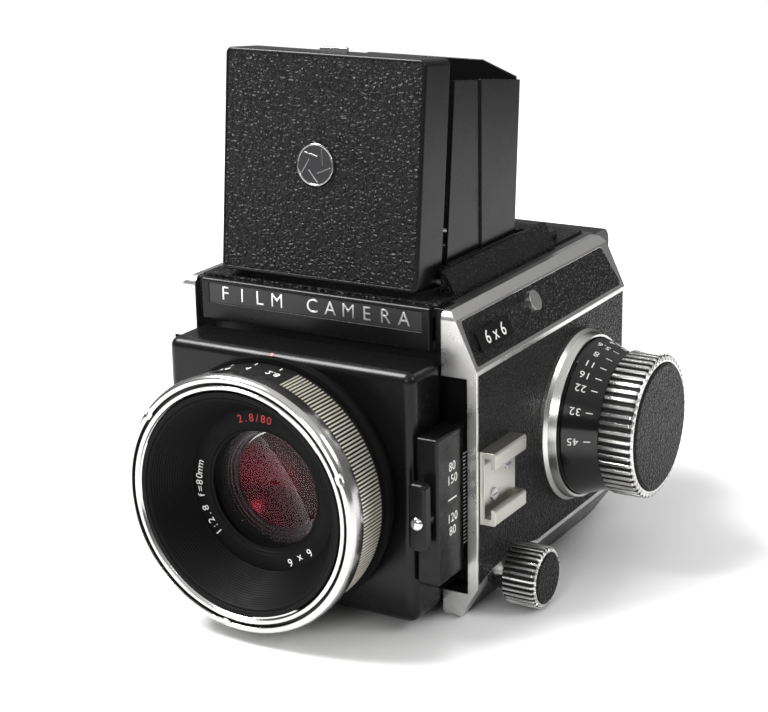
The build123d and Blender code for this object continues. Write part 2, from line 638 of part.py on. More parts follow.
LEVER_X = (BRACKET_X[0] + BRACKET_X[1]) / 2
LEVER_PIVOT_Z = LENS_Z - 4.5
LEVER_HALF = 2.9
LEVER_T = 3.2
LEVER_Y = BRACKET_FRONT - 3.2      # stands clear of the standard when it tilts
with BuildPart() as tilt_lever:
    with BuildSketch(Plane.XZ.offset(-LEVER_Y)):
        with Locations((LEVER_X, LEVER_PIVOT_Z + 1.5)):
            RectangleRounded(2 * LEVER_HALF, 21.0, 1.6)
    extrude(amount=LEVER_T)
    fillet(tilt_lever.edges().group_by(Axis.Y)[0], 0.9)
    disc_y(LEVER_X, LEVER_PIVOT_Z, (LEVER_Y - LEVER_T - 0.6, LEVER_Y), 1.8)
    disc_y(LEVER_X, LEVER_PIVOT_Z, (LEVER_Y, BRACKET_FRONT - 0.1), 2.6)
    disc_y(LEVER_X, LEVER_PIVOT_Z, (LEVER_Y, BRACKET_FRONT + 5.5), 1.5)
save(tilt_lever, "tilt_lever")

with BuildPart() as bellows:
    side = BELLOWS
    box((-side / 2, side / 2), (YOKE_BACK + 0.1, YOKE_BACK + 0.1 + BELLOWS_REST),
        (LENS_Z - side / 2, LENS_Z + side / 2))
    side = BELLOWS - 2 * BELLOWS_WALL
    box((-side / 2, side / 2), (YOKE_BACK - 1, YOKE_BACK + BELLOWS_REST + 1),
        (LENS_Z - side / 2, LENS_Z + side / 2), mode=Mode.SUBTRACT)
save(bellows, "bellows")

# ---------------------------------------------------------------- front standard and lens
STANDARD_BACK = BODY_FRONT
with BuildPart() as front_standard:
    box((-STANDARD_X, STANDARD_X), (STANDARD_FRONT, STANDARD_BACK), STANDARD_Z)
    fillet(front_standard.edges().filter_by(Axis.Y), 3.2)
    fillet(front_standard.edges().group_by(Axis.Y)[0], 3.0)
    box((-STANDARD_X + STANDARD_WALL, STANDARD_X - STANDARD_WALL),
        (STANDARD_FRONT + STANDARD_WALL + 0.5, STANDARD_BACK + 1),
        (STANDARD_Z[0] + STANDARD_WALL, STANDARD_Z[1] - STANDARD_WALL), mode=Mode.SUBTRACT)
    disc_y(0, LENS_Z, (STANDARD_FRONT - 1, STANDARD_BACK), BARREL_R - 6, mode=Mode.SUBTRACT)
    disc_x(TILT_Y, LENS_Z, (-STANDARD_X - 1, STANDARD_X + 1), TILT_PIN_R + RUN, mode=Mode.SUBTRACT)
save(front_standard, "front_standard")

RING_Y = (LENS_FRONT + BAYONET_DEPTH + 0.2, LENS_FRONT + BAYONET_DEPTH + 0.2 + RING_LENGTH)
FLANGE_BACK = STANDARD_FRONT
with BuildPart() as lens_barrel:
    turned_y([
        (MOUTH_R - 1.5, LENS_FRONT + 2.0), (BARREL_R, LENS_FRONT + 2.0), (BARREL_R, RING_Y[1] + 0.2),
        (BAYONET_R - 0.4, RING_Y[1] + 0.2), (BAYONET_R - 0.4, RING_Y[1] + 2.4),
        (BARREL_R + 1, FLANGE_BACK), (BARREL_R - 6.1, FLANGE_BACK), (BARREL_R - 6.1, STANDARD_BACK + 2),
        (GLASS_R - 1, STANDARD_BACK + 2), (GLASS_R - 1, NAME_RING_Y + 7), (NAME_RING_R + 1, NAME_RING_Y + 2),
    ])
save(lens_barrel, "lens_barrel")

with BuildPart() as bayonet_ring:
    turned_y([
        (MOUTH_R, LENS_FRONT), (BAYONET_R - 1.2, LENS_FRONT), (BAYONET_R, LENS_FRONT + 1.2),
        (BAYONET_R, LENS_FRONT + BAYONET_DEPTH), (BARREL_R, LENS_FRONT + BAYONET_DEPTH),
        (BARREL_R, LENS_FRONT + 2.0), (MOUTH_R, LENS_FRONT + 2.0),
    ])
save(bayonet_ring, "bayonet_ring")

with BuildPart() as front_baffle:
    turned_y([
        (MOUTH_R - 1.6, LENS_FRONT + 2.0), (MOUTH_R - 0.2, LENS_FRONT + 1.9),
        (MOUTH_R - 0.2, LENS_FRONT + 0.8), (MOUTH_R - 2.4, LENS_FRONT + 0.8),
        (NAME_RING_R, NAME_RING_Y), (NAME_RING_R, NAME_RING_Y + 1.9), (NAME_RING_R + 0.9, NAME_RING_Y + 1.9),
    ])
save(front_baffle, "front_baffle")

with BuildPart() as name_ring:
    turned_y([
        (GLASS_R, NAME_RING_Y + 0.4), (NAME_RING_R - 0.1, NAME_RING_Y + 0.4),
        (NAME_RING_R - 0.1, NAME_RING_Y + 1.9), (GLASS_R, NAME_RING_Y + 1.9),
    ])
save(name_ring, "name_ring")

GLASS_EDGE = NAME_RING_Y + 3.0


def crown(radius, edge_y, rise):
    """Spherical cap centred on the lens axis: its edge, a point half way and its top, as (radius, y)."""
    ball = (radius ** 2 + rise ** 2) / (2 * abs(rise))
    half = math.asin(radius / ball) / 2
    sign = 1 if rise > 0 else -1
    centre = edge_y + rise - sign * ball
    middle = (ball * math.sin(half), centre + sign * ball * math.cos(half))
    return (radius, edge_y), middle, (0, edge_y + rise)


def lens_glass(radius, front_y, front_rise, back_y, back_rise):
    """A round glass with spherical faces."""
    front = crown(radius, front_y, front_rise)
    back = crown(radius, back_y, back_rise)
    with BuildSketch(Plane.XY.offset(LENS_Z)) as half:
        with BuildLine():
            ThreePointArc(*front)
            Line(front[0], back[0])
            ThreePointArc(*back)
            Line(back[2], front[2])
        make_face()
    revolve(half.sketch, axis=Axis((0, 0, LENS_Z), (0, 1, 0)))


with BuildPart() as front_element:
    lens_glass(GLASS_R - 0.2, GLASS_EDGE, -3.0, GLASS_EDGE + 2.6, 1.4)
save(front_element, "front_element")

REAR_EDGE = STANDARD_BACK - 3
with BuildPart() as rear_element:
    lens_glass(GLASS_R - 1.1, REAR_EDGE - 2, -1.0, REAR_EDGE, 3.0)
save(rear_element, "rear_element")

BLADE_Y = GLASS_EDGE + 8.0
with BuildPart() as aperture_blades:
    for n in range(BLADE_COUNT):
        low = BLADE_Y + n * 0.5
        with BuildSketch(Plane.XZ.offset(-low)):
            with BuildLine(Plane.XZ.offset(-low)):
                CenterArc((0, LENS_Z), GLASS_R - 1.2, n * 360 / BLADE_COUNT, 100)
                CenterArc((0, LENS_Z), GLASS_R - 4.0, n * 360 / BLADE_COUNT, 100)
                for angle in (n * 360 / BLADE_COUNT, n * 360 / BLADE_COUNT + 100):
                    c, s = math.cos(math.radians(angle)), math.sin(math.radians(angle))
                    Line(((GLASS_R - 4.0) * c, LENS_Z + (GLASS_R - 4.0) * s),
                         ((GLASS_R - 1.2) * c, LENS_Z + (GLASS_R - 1.2) * s))
            make_face()
        extrude(amount=-0.3)
save(aperture_blades, "aperture_blades")

with BuildPart() as aperture_ring:
    turned_y([
        (BARREL_R + RUN, RING_Y[0]), (RING_R, RING_Y[0]), (RING_R, RING_Y[1]), (BARREL_R + RUN, RING_Y[1]),
    ])
save(aperture_ring, "aperture_ring")

# ---------------------------------------------------------------- side fittings
with BuildPart() as accessory_shoe:
    z0, z1 = SHOE_Z - SHOE_SLOT / 2 - SHOE_WALL, SHOE_Z + SHOE_SLOT / 2 + SHOE_WALL
    top = SHOE_BASE + SHOE_GAP + SHOE_LIP
    box((SIDE_X, SIDE_X + top), SHOE_Y, (z0, z1))
    box((SIDE_X + SHOE_BASE, SIDE_X + SHOE_BASE + SHOE_GAP), (SHOE_Y[0] - 1, SHOE_Y[1] - 2.0),
        (z0 + SHOE_WALL, z1 - SHOE_WALL), mode=Mode.SUBTRACT)
    box((SIDE_X + SHOE_BASE, SIDE_X + top + 1), (SHOE_Y[0] - 1, SHOE_Y[1] + 1),
        (SHOE_Z - SHOE_MOUTH / 2, SHOE_Z + SHOE_MOUTH / 2), mode=Mode.SUBTRACT)
    chamfer(accessory_shoe.edges().filter_by(Axis.Y).group_by(Axis.X)[-1], 0.5)
save(accessory_shoe, "accessory_shoe")

with BuildPart() as shoe_screws:
    for y, dz in ((SHOE_Y[0] + 6, -3.4), (SHOE_Y[0] + 15, 3.4)):
        disc_x(y, SHOE_Z + dz, (SIDE_X + SHOE_BASE, SIDE_X + SHOE_BASE + 0.7), 1.9)
        box((SIDE_X + SHOE_BASE + 0.4, SIDE_X + SHOE_BASE + 1), (y - 2, y + 2),
            (SHOE_Z + dz - 0.25, SHOE_Z + dz + 0.25), mode=Mode.SUBTRACT)
save(shoe_screws, "shoe_screws")

BADGE = (6.4, 21.0, 0.8)
BADGE_PLACE = (7.6, 31.0)       # up the slope, towards the front
with BuildPart() as side_badge:
    with BuildSketch(SLOPE):
        with Locations(BADGE_PLACE):
            RectangleRounded(BADGE[0], BADGE[1], 0.8)
    extrude(amount=BADGE[2])
save(side_badge, "side_badge")

STUD_PLACE = (11.0, 7.5)
STUD_R = (1.6, 3.2)
STUD_OUT = 4.5


def strap_stud():
    """A strap stud: a neck under a round head, square to the shoulder slope."""
    with BuildSketch(SLOPE) as neck:
        with Locations(STUD_PLACE):
            Circle(STUD_R[0])
    extrude(neck.sketch, amount=STUD_OUT)
    with BuildSketch(SLOPE.offset(STUD_OUT - 1.6)) as head:
        with Locations(STUD_PLACE):
            Circle(STUD_R[1])
    extrude(head.sketch, amount=1.6)


with BuildPart() as right_stud:
    strap_stud()
with BuildPart() as strap_studs:
    add(right_stud.part)
    add(mirror(right_stud.part, about=Plane.YZ))
save(strap_studs, "strap_studs")

# ---------------------------------------------------------------- winding side
DIAL_X = -SIDE_X - 0.3
with BuildPart() as speed_dial:
    turned_x([
        (DIAL_X, SHAFT_R + RUN), (DIAL_X, DIAL_R), (DIAL_X - DIAL_T + 1, DIAL_R),
        (DIAL_X - DIAL_T, DIAL_R - 1.5), (DIAL_X - DIAL_T, SHAFT_R + RUN),
    ], CRANK_Y, CRANK_Z)
save(speed_dial, "speed_dial")

CRANK_X = DIAL_X - DIAL_T - 0.4
with BuildPart() as winding_crank:
    turned_x([
        (-CORE_X + 4.5, 0), (-CORE_X + 4.5, SHAFT_R), (CRANK_X, SHAFT_R), (CRANK_X, CRANK_R),
        (CRANK_X - CRANK_T + 1, CRANK_R), (CRANK_X - CRANK_T, CRANK_R - 1), (CRANK_X - CRANK_T, 0),
    ], CRANK_Y, CRANK_Z)
    with BuildSketch(Plane.YZ.offset(CRANK_X - CRANK_T)):
        with BuildLine():
            Polyline((CRANK_Y - 6, CRANK_Z), (CRANK_Y - 4, CRANK_Z - CRANK_ARM),
                     (CRANK_Y + 4, CRANK_Z - CRANK_ARM), (CRANK_Y + 6, CRANK_Z), close=True)
        make_face()
    extrude(amount=CRANK_T - 1)
    disc_x(CRANK_Y, CRANK_Z - CRANK_ARM, (CRANK_X - CRANK_T, CRANK_X - 1), 4)
    disc_x(CRANK_Y, CRANK_Z - CRANK_ARM, (CRANK_X - CRANK_T - 6, CRANK_X - CRANK_T), 1.5)
save(winding_crank, "winding_crank")

with BuildPart() as crank_handle:
    turned_x([
        (CRANK_X - CRANK_T - 0.3, 1.5 + RUN), (CRANK_X - CRANK_T - 0.3, 3.4),
        (CRANK_X - CRANK_T - 5.0, 4.2), (CRANK_X - CRANK_T - 6.6, 3.2), (CRANK_X - CRANK_T - 6.6, 1.5 + RUN),
    ], CRANK_Y, CRANK_Z - CRANK_ARM)
save(crank_handle, "crank_handle")

CABLE_R = 1.5
CABLE_DEPTH = 4.0
with BuildPart() as release_button:
    disc_y(-RELEASE_X, RELEASE_Z, (BODY_FRONT - 3.6, BODY_FRONT + 8), RELEASE_R)
    fillet(release_button.edges().group_by(Axis.Y)[0], 0.5)
    disc_y(-RELEASE_X, RELEASE_Z, (BODY_FRONT - 4, BODY_FRONT - 3.6 + CABLE_DEPTH), CABLE_R,
           mode=Mode.SUBTRACT)
save(release_button, "release_button")

# ---------------------------------------------------------------- hood
LID_PLANE = Plane((0, LID_FRONT, LID_BOTTOM), x_dir=(1, 0, 0), z_dir=(0, -math.cos(LEAN), math.sin(LEAN)))


def on_lid(height, depth):
    """A point of the lid's middle plane, this far up its face and this far behind it, as (y, z)."""
    y = LID_FRONT + height * math.sin(LEAN) + depth * math.cos(LEAN)
    z = LID_BOTTOM + height * math.cos(LEAN) - depth * math.sin(LEAN)
    return y, z


LID_PIN = on_lid(LID_PIN_RISE, LID_PIN_DEPTH)
BAR_X = (LEAF_X + CURL_R + 0.3, CORE_X - 1.85)

with BuildPart() as finder_frame:
    box((-BAR_X[1], BAR_X[1]), (FASCIA_FRONT + FASCIA_T + 0.2, FRAME_REAR), (HOOD_BASE, HOOD_BASE + 1.0))
    box((-SCREEN / 2, SCREEN / 2), (WELL[0], WELL[1] - 12), (HOOD_BASE - 1, HOOD_BASE + 2),
        mode=Mode.SUBTRACT)
    for side in (-1, 1):
        with BuildSketch(Plane.XZ.offset(-(LID_PIN[0] - 2.2))):
            with BuildLine():
                Polyline(
                    (side * BAR_X[0], HOOD_BASE + 0.5), (side * BAR_X[1], HOOD_BASE + 0.5),
                    (side * BAR_X[1], HOOD_BASE + 1.5), (side * (BAR_X[0] + 1.2), FRAME_BAR_TOP),
                    (side * BAR_X[0], FRAME_BAR_TOP), close=True,
                )
            make_face()
        extrude(amount=-(FRAME_REAR - LID_PIN[0] + 2.2))
        # lugs that hold the leaf pins
        pin_z = LEAF_PIN_Z[0] if side > 0 else LEAF_PIN_Z[1]
        for y in (LEAF_FRONT - 1.8, REAR_Y + 2.4):
            box(sorted((side * (LEAF_X - 1.4), side * (BAR_X[0] + 0.5))), (y, y + 1.2),
                (HOOD_BASE + 0.5, pin_z + 1.4))
            disc_y(side * LEAF_X, pin_z, (y - 1, y + 2.2), PIN_R, mode=Mode.SUBTRACT)
        disc_x(LID_PIN[0], LID_PIN[1], sorted((side * (BAR_X[0] - 0.1), side * (BAR_X[0] + 1.0))), PIN_R,
               mode=Mode.SUBTRACT)
    # rear wall with the ears of the rear leaf's pin
    box((-BAR_X[0] - 0.5, BAR_X[0] + 0.5), (FRAME_REAR - 8, FRAME_REAR),
        (HOOD_BASE + 0.5, FRAME_BAR_TOP - 1.5))
    for side in (-1, 1):
        box(sorted((side * 26, side * 30)), (REAR_Y - 1.2, FRAME_REAR - 7),
            (HOOD_BASE + 0.5, REAR_PIN_Z + 1.3))
    disc_x(REAR_Y, REAR_PIN_Z, (-31, 31), PIN_R, mode=Mode.SUBTRACT)
save(finder_frame, "finder_frame")

with BuildPart() as hood_pins:
    for side, pin_z in ((1, LEAF_PIN_Z[0]), (-1, LEAF_PIN_Z[1])):
        disc_y(side * LEAF_X, pin_z, (LEAF_FRONT - 1.8, REAR_Y + 3.6), PIN_R)
        ends = sorted((side * (LID_X - LID_WALL + 0.05), side * (BAR_X[0] + 0.9)))
        disc_x(LID_PIN[0], LID_PIN[1], ends, PIN_R)
    disc_x(REAR_Y, REAR_PIN_Z, (-30.5, 30.5), PIN_R)
save(hood_pins, "hood_pins")

LID_CORNER = 2.0
LID_LEATHER = (33.9, 1.2, 67.4)    # half width, lower edge, upper edge
with BuildPart() as hood_lid:
    with BuildSketch(LID_PLANE):
        with Locations((0, LID_HEIGHT / 2)):
            RectangleRounded(2 * LID_X, LID_HEIGHT, LID_CORNER)
    extrude(amount=-LID_DEPTH)
    fillet(hood_lid.edges().group_by(Axis((0, 0, 0), LID_PLANE.z_dir))[-1], 0.8)
    with BuildSketch(LID_PLANE.offset(-LID_WALL)):
        with Locations((0, LID_HEIGHT / 2)):
            Rectangle(2 * (LID_X - LID_WALL), LID_HEIGHT - 2 * LID_WALL)
    extrude(amount=-LID_DEPTH, mode=Mode.SUBTRACT)
    # the lower rim is cut back so that the leaves fold under it
    with BuildSketch(LID_PLANE.offset(-LID_WALL - 2)):
        with Locations((0, LID_WALL / 2)):
            Rectangle(2 * (LID_X - LID_WALL), LID_WALL + 0.2)
    extrude(amount=-LID_DEPTH, mode=Mode.SUBTRACT)
    with BuildSketch(LID_PLANE):
        with Locations((0, (LID_LEATHER[1] + LID_LEATHER[2]) / 2)):
            RectangleRounded(2 * LID_LEATHER[0], LID_LEATHER[2] - LID_LEATHER[1], LID_CORNER - 0.4)
    extrude(amount=-0.7, mode=Mode.SUBTRACT)
    disc_x(LID_PIN[0], LID_PIN[1], (-LID_X - 1, LID_X + 1), PIN_R + RUN, mode=Mode.SUBTRACT)
    # finger tab on the upper edge
    with BuildSketch(LID_PLANE.offset(-4.2)):
        with Locations((1.0, LID_HEIGHT + 0.6)):
            Rectangle(9.4, 2.2)
    extrude(amount=-1.0)
    # ears for the magnifier's pin
    for side in (-1, 1):
        with BuildSketch(LID_PLANE.offset(-LID_WALL + 0.2)):
            with Locations((side * (MAGNIFIER[0] / 2 + 1.6), MAGNIFIER_PIN)):
                Rectangle(1.8, 6)
        extrude(amount=-7.5)
    pin_y, pin_z = on_lid(MAGNIFIER_PIN, 6.0)
    disc_x(pin_y, pin_z, (-MAGNIFIER[0] / 2 - 3, MAGNIFIER[0] / 2 + 3), PIN_R + RUN, mode=Mode.SUBTRACT)
save(hood_lid, "hood_lid")

with BuildPart() as lid_leather:
    with BuildSketch(LID_PLANE.offset(-0.7)):
        with Locations((0, (LID_LEATHER[1] + LID_LEATHER[2]) / 2)):
            RectangleRounded(2 * LID_LEATHER[0] - 0.2, LID_LEATHER[2] - LID_LEATHER[1] - 0.2,
                             LID_CORNER - 0.5)
    extrude(amount=0.65)
save(lid_leather, "lid_leather")

EMBLEM = (-1.4, 35.2, 6.4)         # centre on the lid's face and radius
with BuildPart() as lid_emblem:
    with BuildSketch(LID_PLANE.offset(-0.05)):
        with Locations(EMBLEM[:2]):
            Circle(EMBLEM[2])
    extrude(amount=0.6)
save(lid_emblem, "lid_emblem")

MAG_PIN = on_lid(MAGNIFIER_PIN, 6.0)
with BuildPart() as magnifier_arm:
    with BuildSketch(LID_PLANE.offset(-6.0 + MAGNIFIER[2] / 2)):
        with Locations((0, MAGNIFIER_PIN - MAGNIFIER[1] / 2)):
            RectangleRounded(MAGNIFIER[0], MAGNIFIER[1], 4)
        with Locations((0, MAGNIFIER_PIN - MAGNIFIER[1] / 2 - 1)):
            Circle(MAGNIFIER_LENS_R, mode=Mode.SUBTRACT)
    extrude(amount=-MAGNIFIER[2])
    disc_x(MAG_PIN[0], MAG_PIN[1], (-MAGNIFIER[0] / 2 + 4, MAGNIFIER[0] / 2 - 4), CURL_R)
    disc_x(MAG_PIN[0], MAG_PIN[1], (-MAGNIFIER[0] / 2 - 2.4, MAGNIFIER[0] / 2 + 2.4), PIN_R)
save(magnifier_arm, "magnifier_arm")

with BuildPart() as magnifier_lens:
    with BuildSketch(LID_PLANE.offset(-6.0 + MAGNIFIER[2] / 2 + 0.4)):
        with Locations((0, MAGNIFIER_PIN - MAGNIFIER[1] / 2 - 1)):
            Circle(MAGNIFIER_LENS_R)
    extrude(amount=-MAGNIFIER[2] - 0.8)
save(magnifier_lens, "magnifier_lens")


def side_leaf(pin_z):
    """Upright side leaf of the +X side, with a sunk front strip and a curled hinge edge."""
    front = LEAF_FRONT + math.tan(LEAN) * (LEAF_TOP[0] - LEAF_PIN_Z[0])
    rear = LEAF_REAR + math.tan(math.radians(LEAF_REAR_LEAN)) * (LEAF_TOP[2] - LEAF_PIN_Z[0])
    with BuildSketch(Plane.YZ.offset(LEAF_X - LEAF_T / 2)) as rear_part:
        with BuildLine():
            Polyline((LEAF_FOLD, pin_z + 1), (LEAF_FOLD, LEAF_TOP[1]), (rear, LEAF_TOP[2]),
                     (LEAF_REAR, pin_z + 1), close=True)
        make_face()
    extrude(rear_part.sketch, amount=LEAF_T)
    with BuildSketch(Plane.YZ.offset(LEAF_X - LEAF_T / 2 - 0.4)) as strip:
        with BuildLine():
            Polyline((LEAF_FRONT, pin_z + 1), (front, LEAF_TOP[0]), (LEAF_FOLD + 1.5, LEAF_TOP[1] - 0.5),
                     (LEAF_FOLD + 1.5, pin_z + 1), close=True)
        make_face()
    extrude(strip.sketch, amount=LEAF_T - 0.2)
    disc_y(LEAF_X, pin_z, (LEAF_FRONT, LEAF_REAR), CURL_R)
    disc_y(LEAF_X, pin_z, (LEAF_FRONT - 1, LEAF_REAR + 1), PIN_R + RUN, mode=Mode.SUBTRACT)


with BuildPart() as side_leaf_right:
    side_leaf(LEAF_PIN_Z[0])
save(side_leaf_right, "side_leaf_right")

with BuildPart() as left_leaf_as_right:
    side_leaf(LEAF_PIN_Z[1])
with BuildPart() as side_leaf_left:
    add(mirror(left_leaf_as_right.part, about=Plane.YZ))
save(side_leaf_left, "side_leaf_left")

REAR_X = LID_X - LID_WALL - 0.4
REAR_RAD = math.radians(REAR_LEAN)
REAR_PLANE = Plane((0, REAR_Y, REAR_PIN_Z), x_dir=(1, 0, 0),
                   z_dir=(0, -math.cos(REAR_RAD), math.sin(REAR_RAD)))
with BuildPart() as rear_leaf:
    with BuildSketch(REAR_PLANE.offset(LEAF_T / 2)):
        with BuildLine():
            Polyline(
                (-REAR_X, 2.2), (-REAR_X, REAR_SHOULDER - REAR_PIN_Z), (-21, REAR_TOP - REAR_PIN_Z),
                (21, REAR_TOP - REAR_PIN_Z), (REAR_X, REAR_SHOULDER - REAR_PIN_Z), (REAR_X, 2.2),
                (25, 2.2), (25, 0.8), (-25, 0.8), (-25, 2.2), close=True,
            )
        make_face()
    extrude(amount=-LEAF_T)
    disc_x(REAR_Y, REAR_PIN_Z, (-25, 25), CURL_R)
    disc_x(REAR_Y, REAR_PIN_Z, (-26, 26), PIN_R + RUN, mode=Mode.SUBTRACT)
save(rear_leaf, "rear_leaf")

LATCH_TOP = BODY_TOP + LEATHER_T + 3.2
with BuildPart() as finder_latch:
    box((31, 38.5), (FRAME_REAR + 1.6, FRAME_REAR + 8.6), (BODY_TOP + LEATHER_T + 0.2, LATCH_TOP))
    fillet(finder_latch.edges().group_by(Axis.Z)[-1], 0.6)
save(finder_latch, "finder_latch")

# ---------------------------------------------------------------- film magazine
MAG_FRONT = BODY_REAR + 0.3
SLIDE_Y = MAG_FRONT + 2.0
SHELL_FRONT = MAG_FRONT + MAG_FRAME_T + 0.2
MAG_BACK = MAG_FRONT + MAG_DEPTH
HINGE = (MAG_X + 0.4, SHELL_FRONT - 0.1)
HINGE_R = 1.5
HINGE_PIN_R = 0.7
HINGE_Z = (20.0, 32.0, 68.0, 80.0)  # ends of the two outer knuckles
SPOOL_X = 32.0
SPOOL_IN = 12.0
SPOOL_R = (MAG_BACK - MAG_WALL - SHELL_FRONT) / 2 - 0.4
SPOOL_Y = SHELL_FRONT + SPOOL_R + 0.3
with BuildPart() as magazine_frame:
    box((-MAG_X, MAG_X), (MAG_FRONT, MAG_FRONT + MAG_FRAME_T), MAG_Z)
    box((-GATE / 2, GATE / 2), (MAG_FRONT - 1, MAG_FRONT + MAG_FRAME_T + 1),
        (LENS_Z - GATE / 2, LENS_Z + GATE / 2), mode=Mode.SUBTRACT)
    # knuckles and pin of the door's hinge
    disc_z(*HINGE, (HINGE_Z[1] - 0.3, HINGE_Z[2] + 0.3), HINGE_R + 0.3, mode=Mode.SUBTRACT)
    for ends in (HINGE_Z[:2], HINGE_Z[2:]):
        disc_z(*HINGE, ends, HINGE_R)
    disc_z(*HINGE, (HINGE_Z[0], HINGE_Z[3]), HINGE_PIN_R)
    # cheeks that hold the spools
    for side in (-1, 1):
        ends = sorted((side * (SPOOL_X + 0.1), side * (SPOOL_X + 1.6)))
        box(ends, (MAG_FRONT + MAG_FRAME_T - 1, SPOOL_Y + 4), (MAG_Z[0] + 6, MAG_Z[1] - 6))
    # slot of the dark slide, open towards -X
    box((-MAG_X - 1, SLIDE_W / 2 + 0.5), (SLIDE_Y - 0.3, SLIDE_Y + SLIDE_T + 0.3),
        (LENS_Z - SLIDE_W / 2 - 0.4, LENS_Z + SLIDE_W / 2 + 0.4), mode=Mode.SUBTRACT)
save(magazine_frame, "magazine_frame")

with BuildPart() as dark_slide:
    box((-MAG_X - 1, SLIDE_W / 2), (SLIDE_Y, SLIDE_Y + SLIDE_T), (LENS_Z - SLIDE_W / 2, LENS_Z + SLIDE_W / 2))
    box((-MAG_X - 5, -MAG_X - 0.6), (SLIDE_Y - 1.2, SLIDE_Y + SLIDE_T + 1.2), (LENS_Z - 9, LENS_Z + 9))
save(dark_slide, "dark_slide")

with BuildPart() as magazine_door:
    box((-MAG_X, MAG_X), (SHELL_FRONT, MAG_BACK), MAG_Z)
    fillet(magazine_door.edges().filter_by(Axis.X).group_by(Axis.Y)[-1], 5)
    box((-MAG_X + MAG_WALL, MAG_X - MAG_WALL), (SHELL_FRONT - 1, MAG_BACK - MAG_WALL),
        (MAG_Z[0] + MAG_WALL, MAG_Z[1] - MAG_WALL), mode=Mode.SUBTRACT)
    for ends in (HINGE_Z[:2], HINGE_Z[2:]):
        disc_z(*HINGE, (ends[0] - 0.3, ends[1] + 0.3), HINGE_R + 0.3, mode=Mode.SUBTRACT)
    disc_z(*HINGE, (HINGE_Z[1] + 0.3, HINGE_Z[2] - 0.3), HINGE_R)
    disc_z(*HINGE, (HINGE_Z[0] - 1, HINGE_Z[3] + 1), HINGE_PIN_R + RUN, mode=Mode.SUBTRACT)
save(magazine_door, "magazine_door")

with BuildPart() as film_spools:
    for z in (MAG_Z[0] + SPOOL_IN, MAG_Z[1] - SPOOL_IN):
        for x in (-SPOOL_X, SPOOL_X - 1):
            disc_x(SPOOL_Y, z, (x, x + 1), SPOOL_R)
        disc_x(SPOOL_Y, z, (-SPOOL_X, SPOOL_X), SPOOL_R - 2.4)
save(film_spools, "film_spools")
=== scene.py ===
"""Looks of a medium-format single-lens reflex camera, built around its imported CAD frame.

Laid out as an add-on: each piece or group of like pieces has its own operator, and the panel in the
3D view's sidebar lists them. Everything is in metres, in the frame's own axes: +Z up, the lens looks
along -Y, the focus knob is on the +X side.
"""

import json
import math

import bmesh
import bpy
import numpy as np
from mathutils import Matrix, Vector


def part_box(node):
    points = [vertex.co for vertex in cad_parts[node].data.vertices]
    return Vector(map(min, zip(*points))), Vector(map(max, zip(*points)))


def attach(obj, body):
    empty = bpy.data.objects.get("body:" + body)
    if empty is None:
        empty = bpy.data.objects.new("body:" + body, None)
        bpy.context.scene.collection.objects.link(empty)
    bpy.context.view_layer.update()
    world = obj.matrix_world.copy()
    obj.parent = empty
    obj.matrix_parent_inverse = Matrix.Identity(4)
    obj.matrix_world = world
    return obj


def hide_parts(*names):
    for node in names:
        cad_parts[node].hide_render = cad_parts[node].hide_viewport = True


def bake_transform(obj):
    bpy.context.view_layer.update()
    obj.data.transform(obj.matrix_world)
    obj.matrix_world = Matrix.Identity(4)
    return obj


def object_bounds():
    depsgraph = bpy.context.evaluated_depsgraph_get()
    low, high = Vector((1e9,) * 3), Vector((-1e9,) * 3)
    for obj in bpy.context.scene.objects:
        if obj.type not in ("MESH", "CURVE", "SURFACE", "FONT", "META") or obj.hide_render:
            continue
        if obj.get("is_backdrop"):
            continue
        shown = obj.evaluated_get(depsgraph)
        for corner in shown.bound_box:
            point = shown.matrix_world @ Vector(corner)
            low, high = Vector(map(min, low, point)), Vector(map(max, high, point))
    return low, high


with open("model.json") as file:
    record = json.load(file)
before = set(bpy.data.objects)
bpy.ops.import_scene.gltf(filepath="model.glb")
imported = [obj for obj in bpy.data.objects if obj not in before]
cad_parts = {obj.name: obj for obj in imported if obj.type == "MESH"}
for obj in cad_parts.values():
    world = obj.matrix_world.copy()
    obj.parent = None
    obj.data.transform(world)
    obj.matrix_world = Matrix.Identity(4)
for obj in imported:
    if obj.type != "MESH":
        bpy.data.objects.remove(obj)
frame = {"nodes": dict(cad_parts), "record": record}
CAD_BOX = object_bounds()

bl_info = {
    "name": "Reflex camera looks",
    "version": (1, 0, 0),
    "blender": (4, 5, 0),
    "location": "3D View > Sidebar > Reflex",
    "description": "Builds the visible rings, knurls, marks and finishes of a medium-format reflex camera",
    "category": "Object",
}

MM = 0.001
TURN = 2 * math.pi
FONT_SIZE = 1.38  # of a font whose capitals are one unit high
RING_LOW, RING_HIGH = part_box("bayonet_ring")
LENS_Z = (RING_LOW.z + RING_HIGH.z) / 2
GRIP_LOW, GRIP_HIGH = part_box("knob_grip")
KNOB_Y = (GRIP_LOW.y + GRIP_HIGH.y) / 2
KNOB_Z = (GRIP_LOW.z + GRIP_HIGH.z) / 2
LOCK_LOW, LOCK_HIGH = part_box("lock_knob")
LOCK_Y = (LOCK_LOW.y + LOCK_HIGH.y) / 2
LOCK_Z = (LOCK_LOW.z + LOCK_HIGH.z) / 2
LEATHER_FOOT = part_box("side_leathers")[0].z
SKIRT_Z = LEATHER_FOOT - 1.5 * MM  # the side frames are black below this height
UPPER_PANEL_Z = LEATHER_FOOT + 67.8 * MM  # the side leather has the hood's grain above this height
FRAME_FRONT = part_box("side_frame_right")[0].y
SLOTS = {row["node"]: row["material_slot"] for row in frame["record"]["subparts"]}


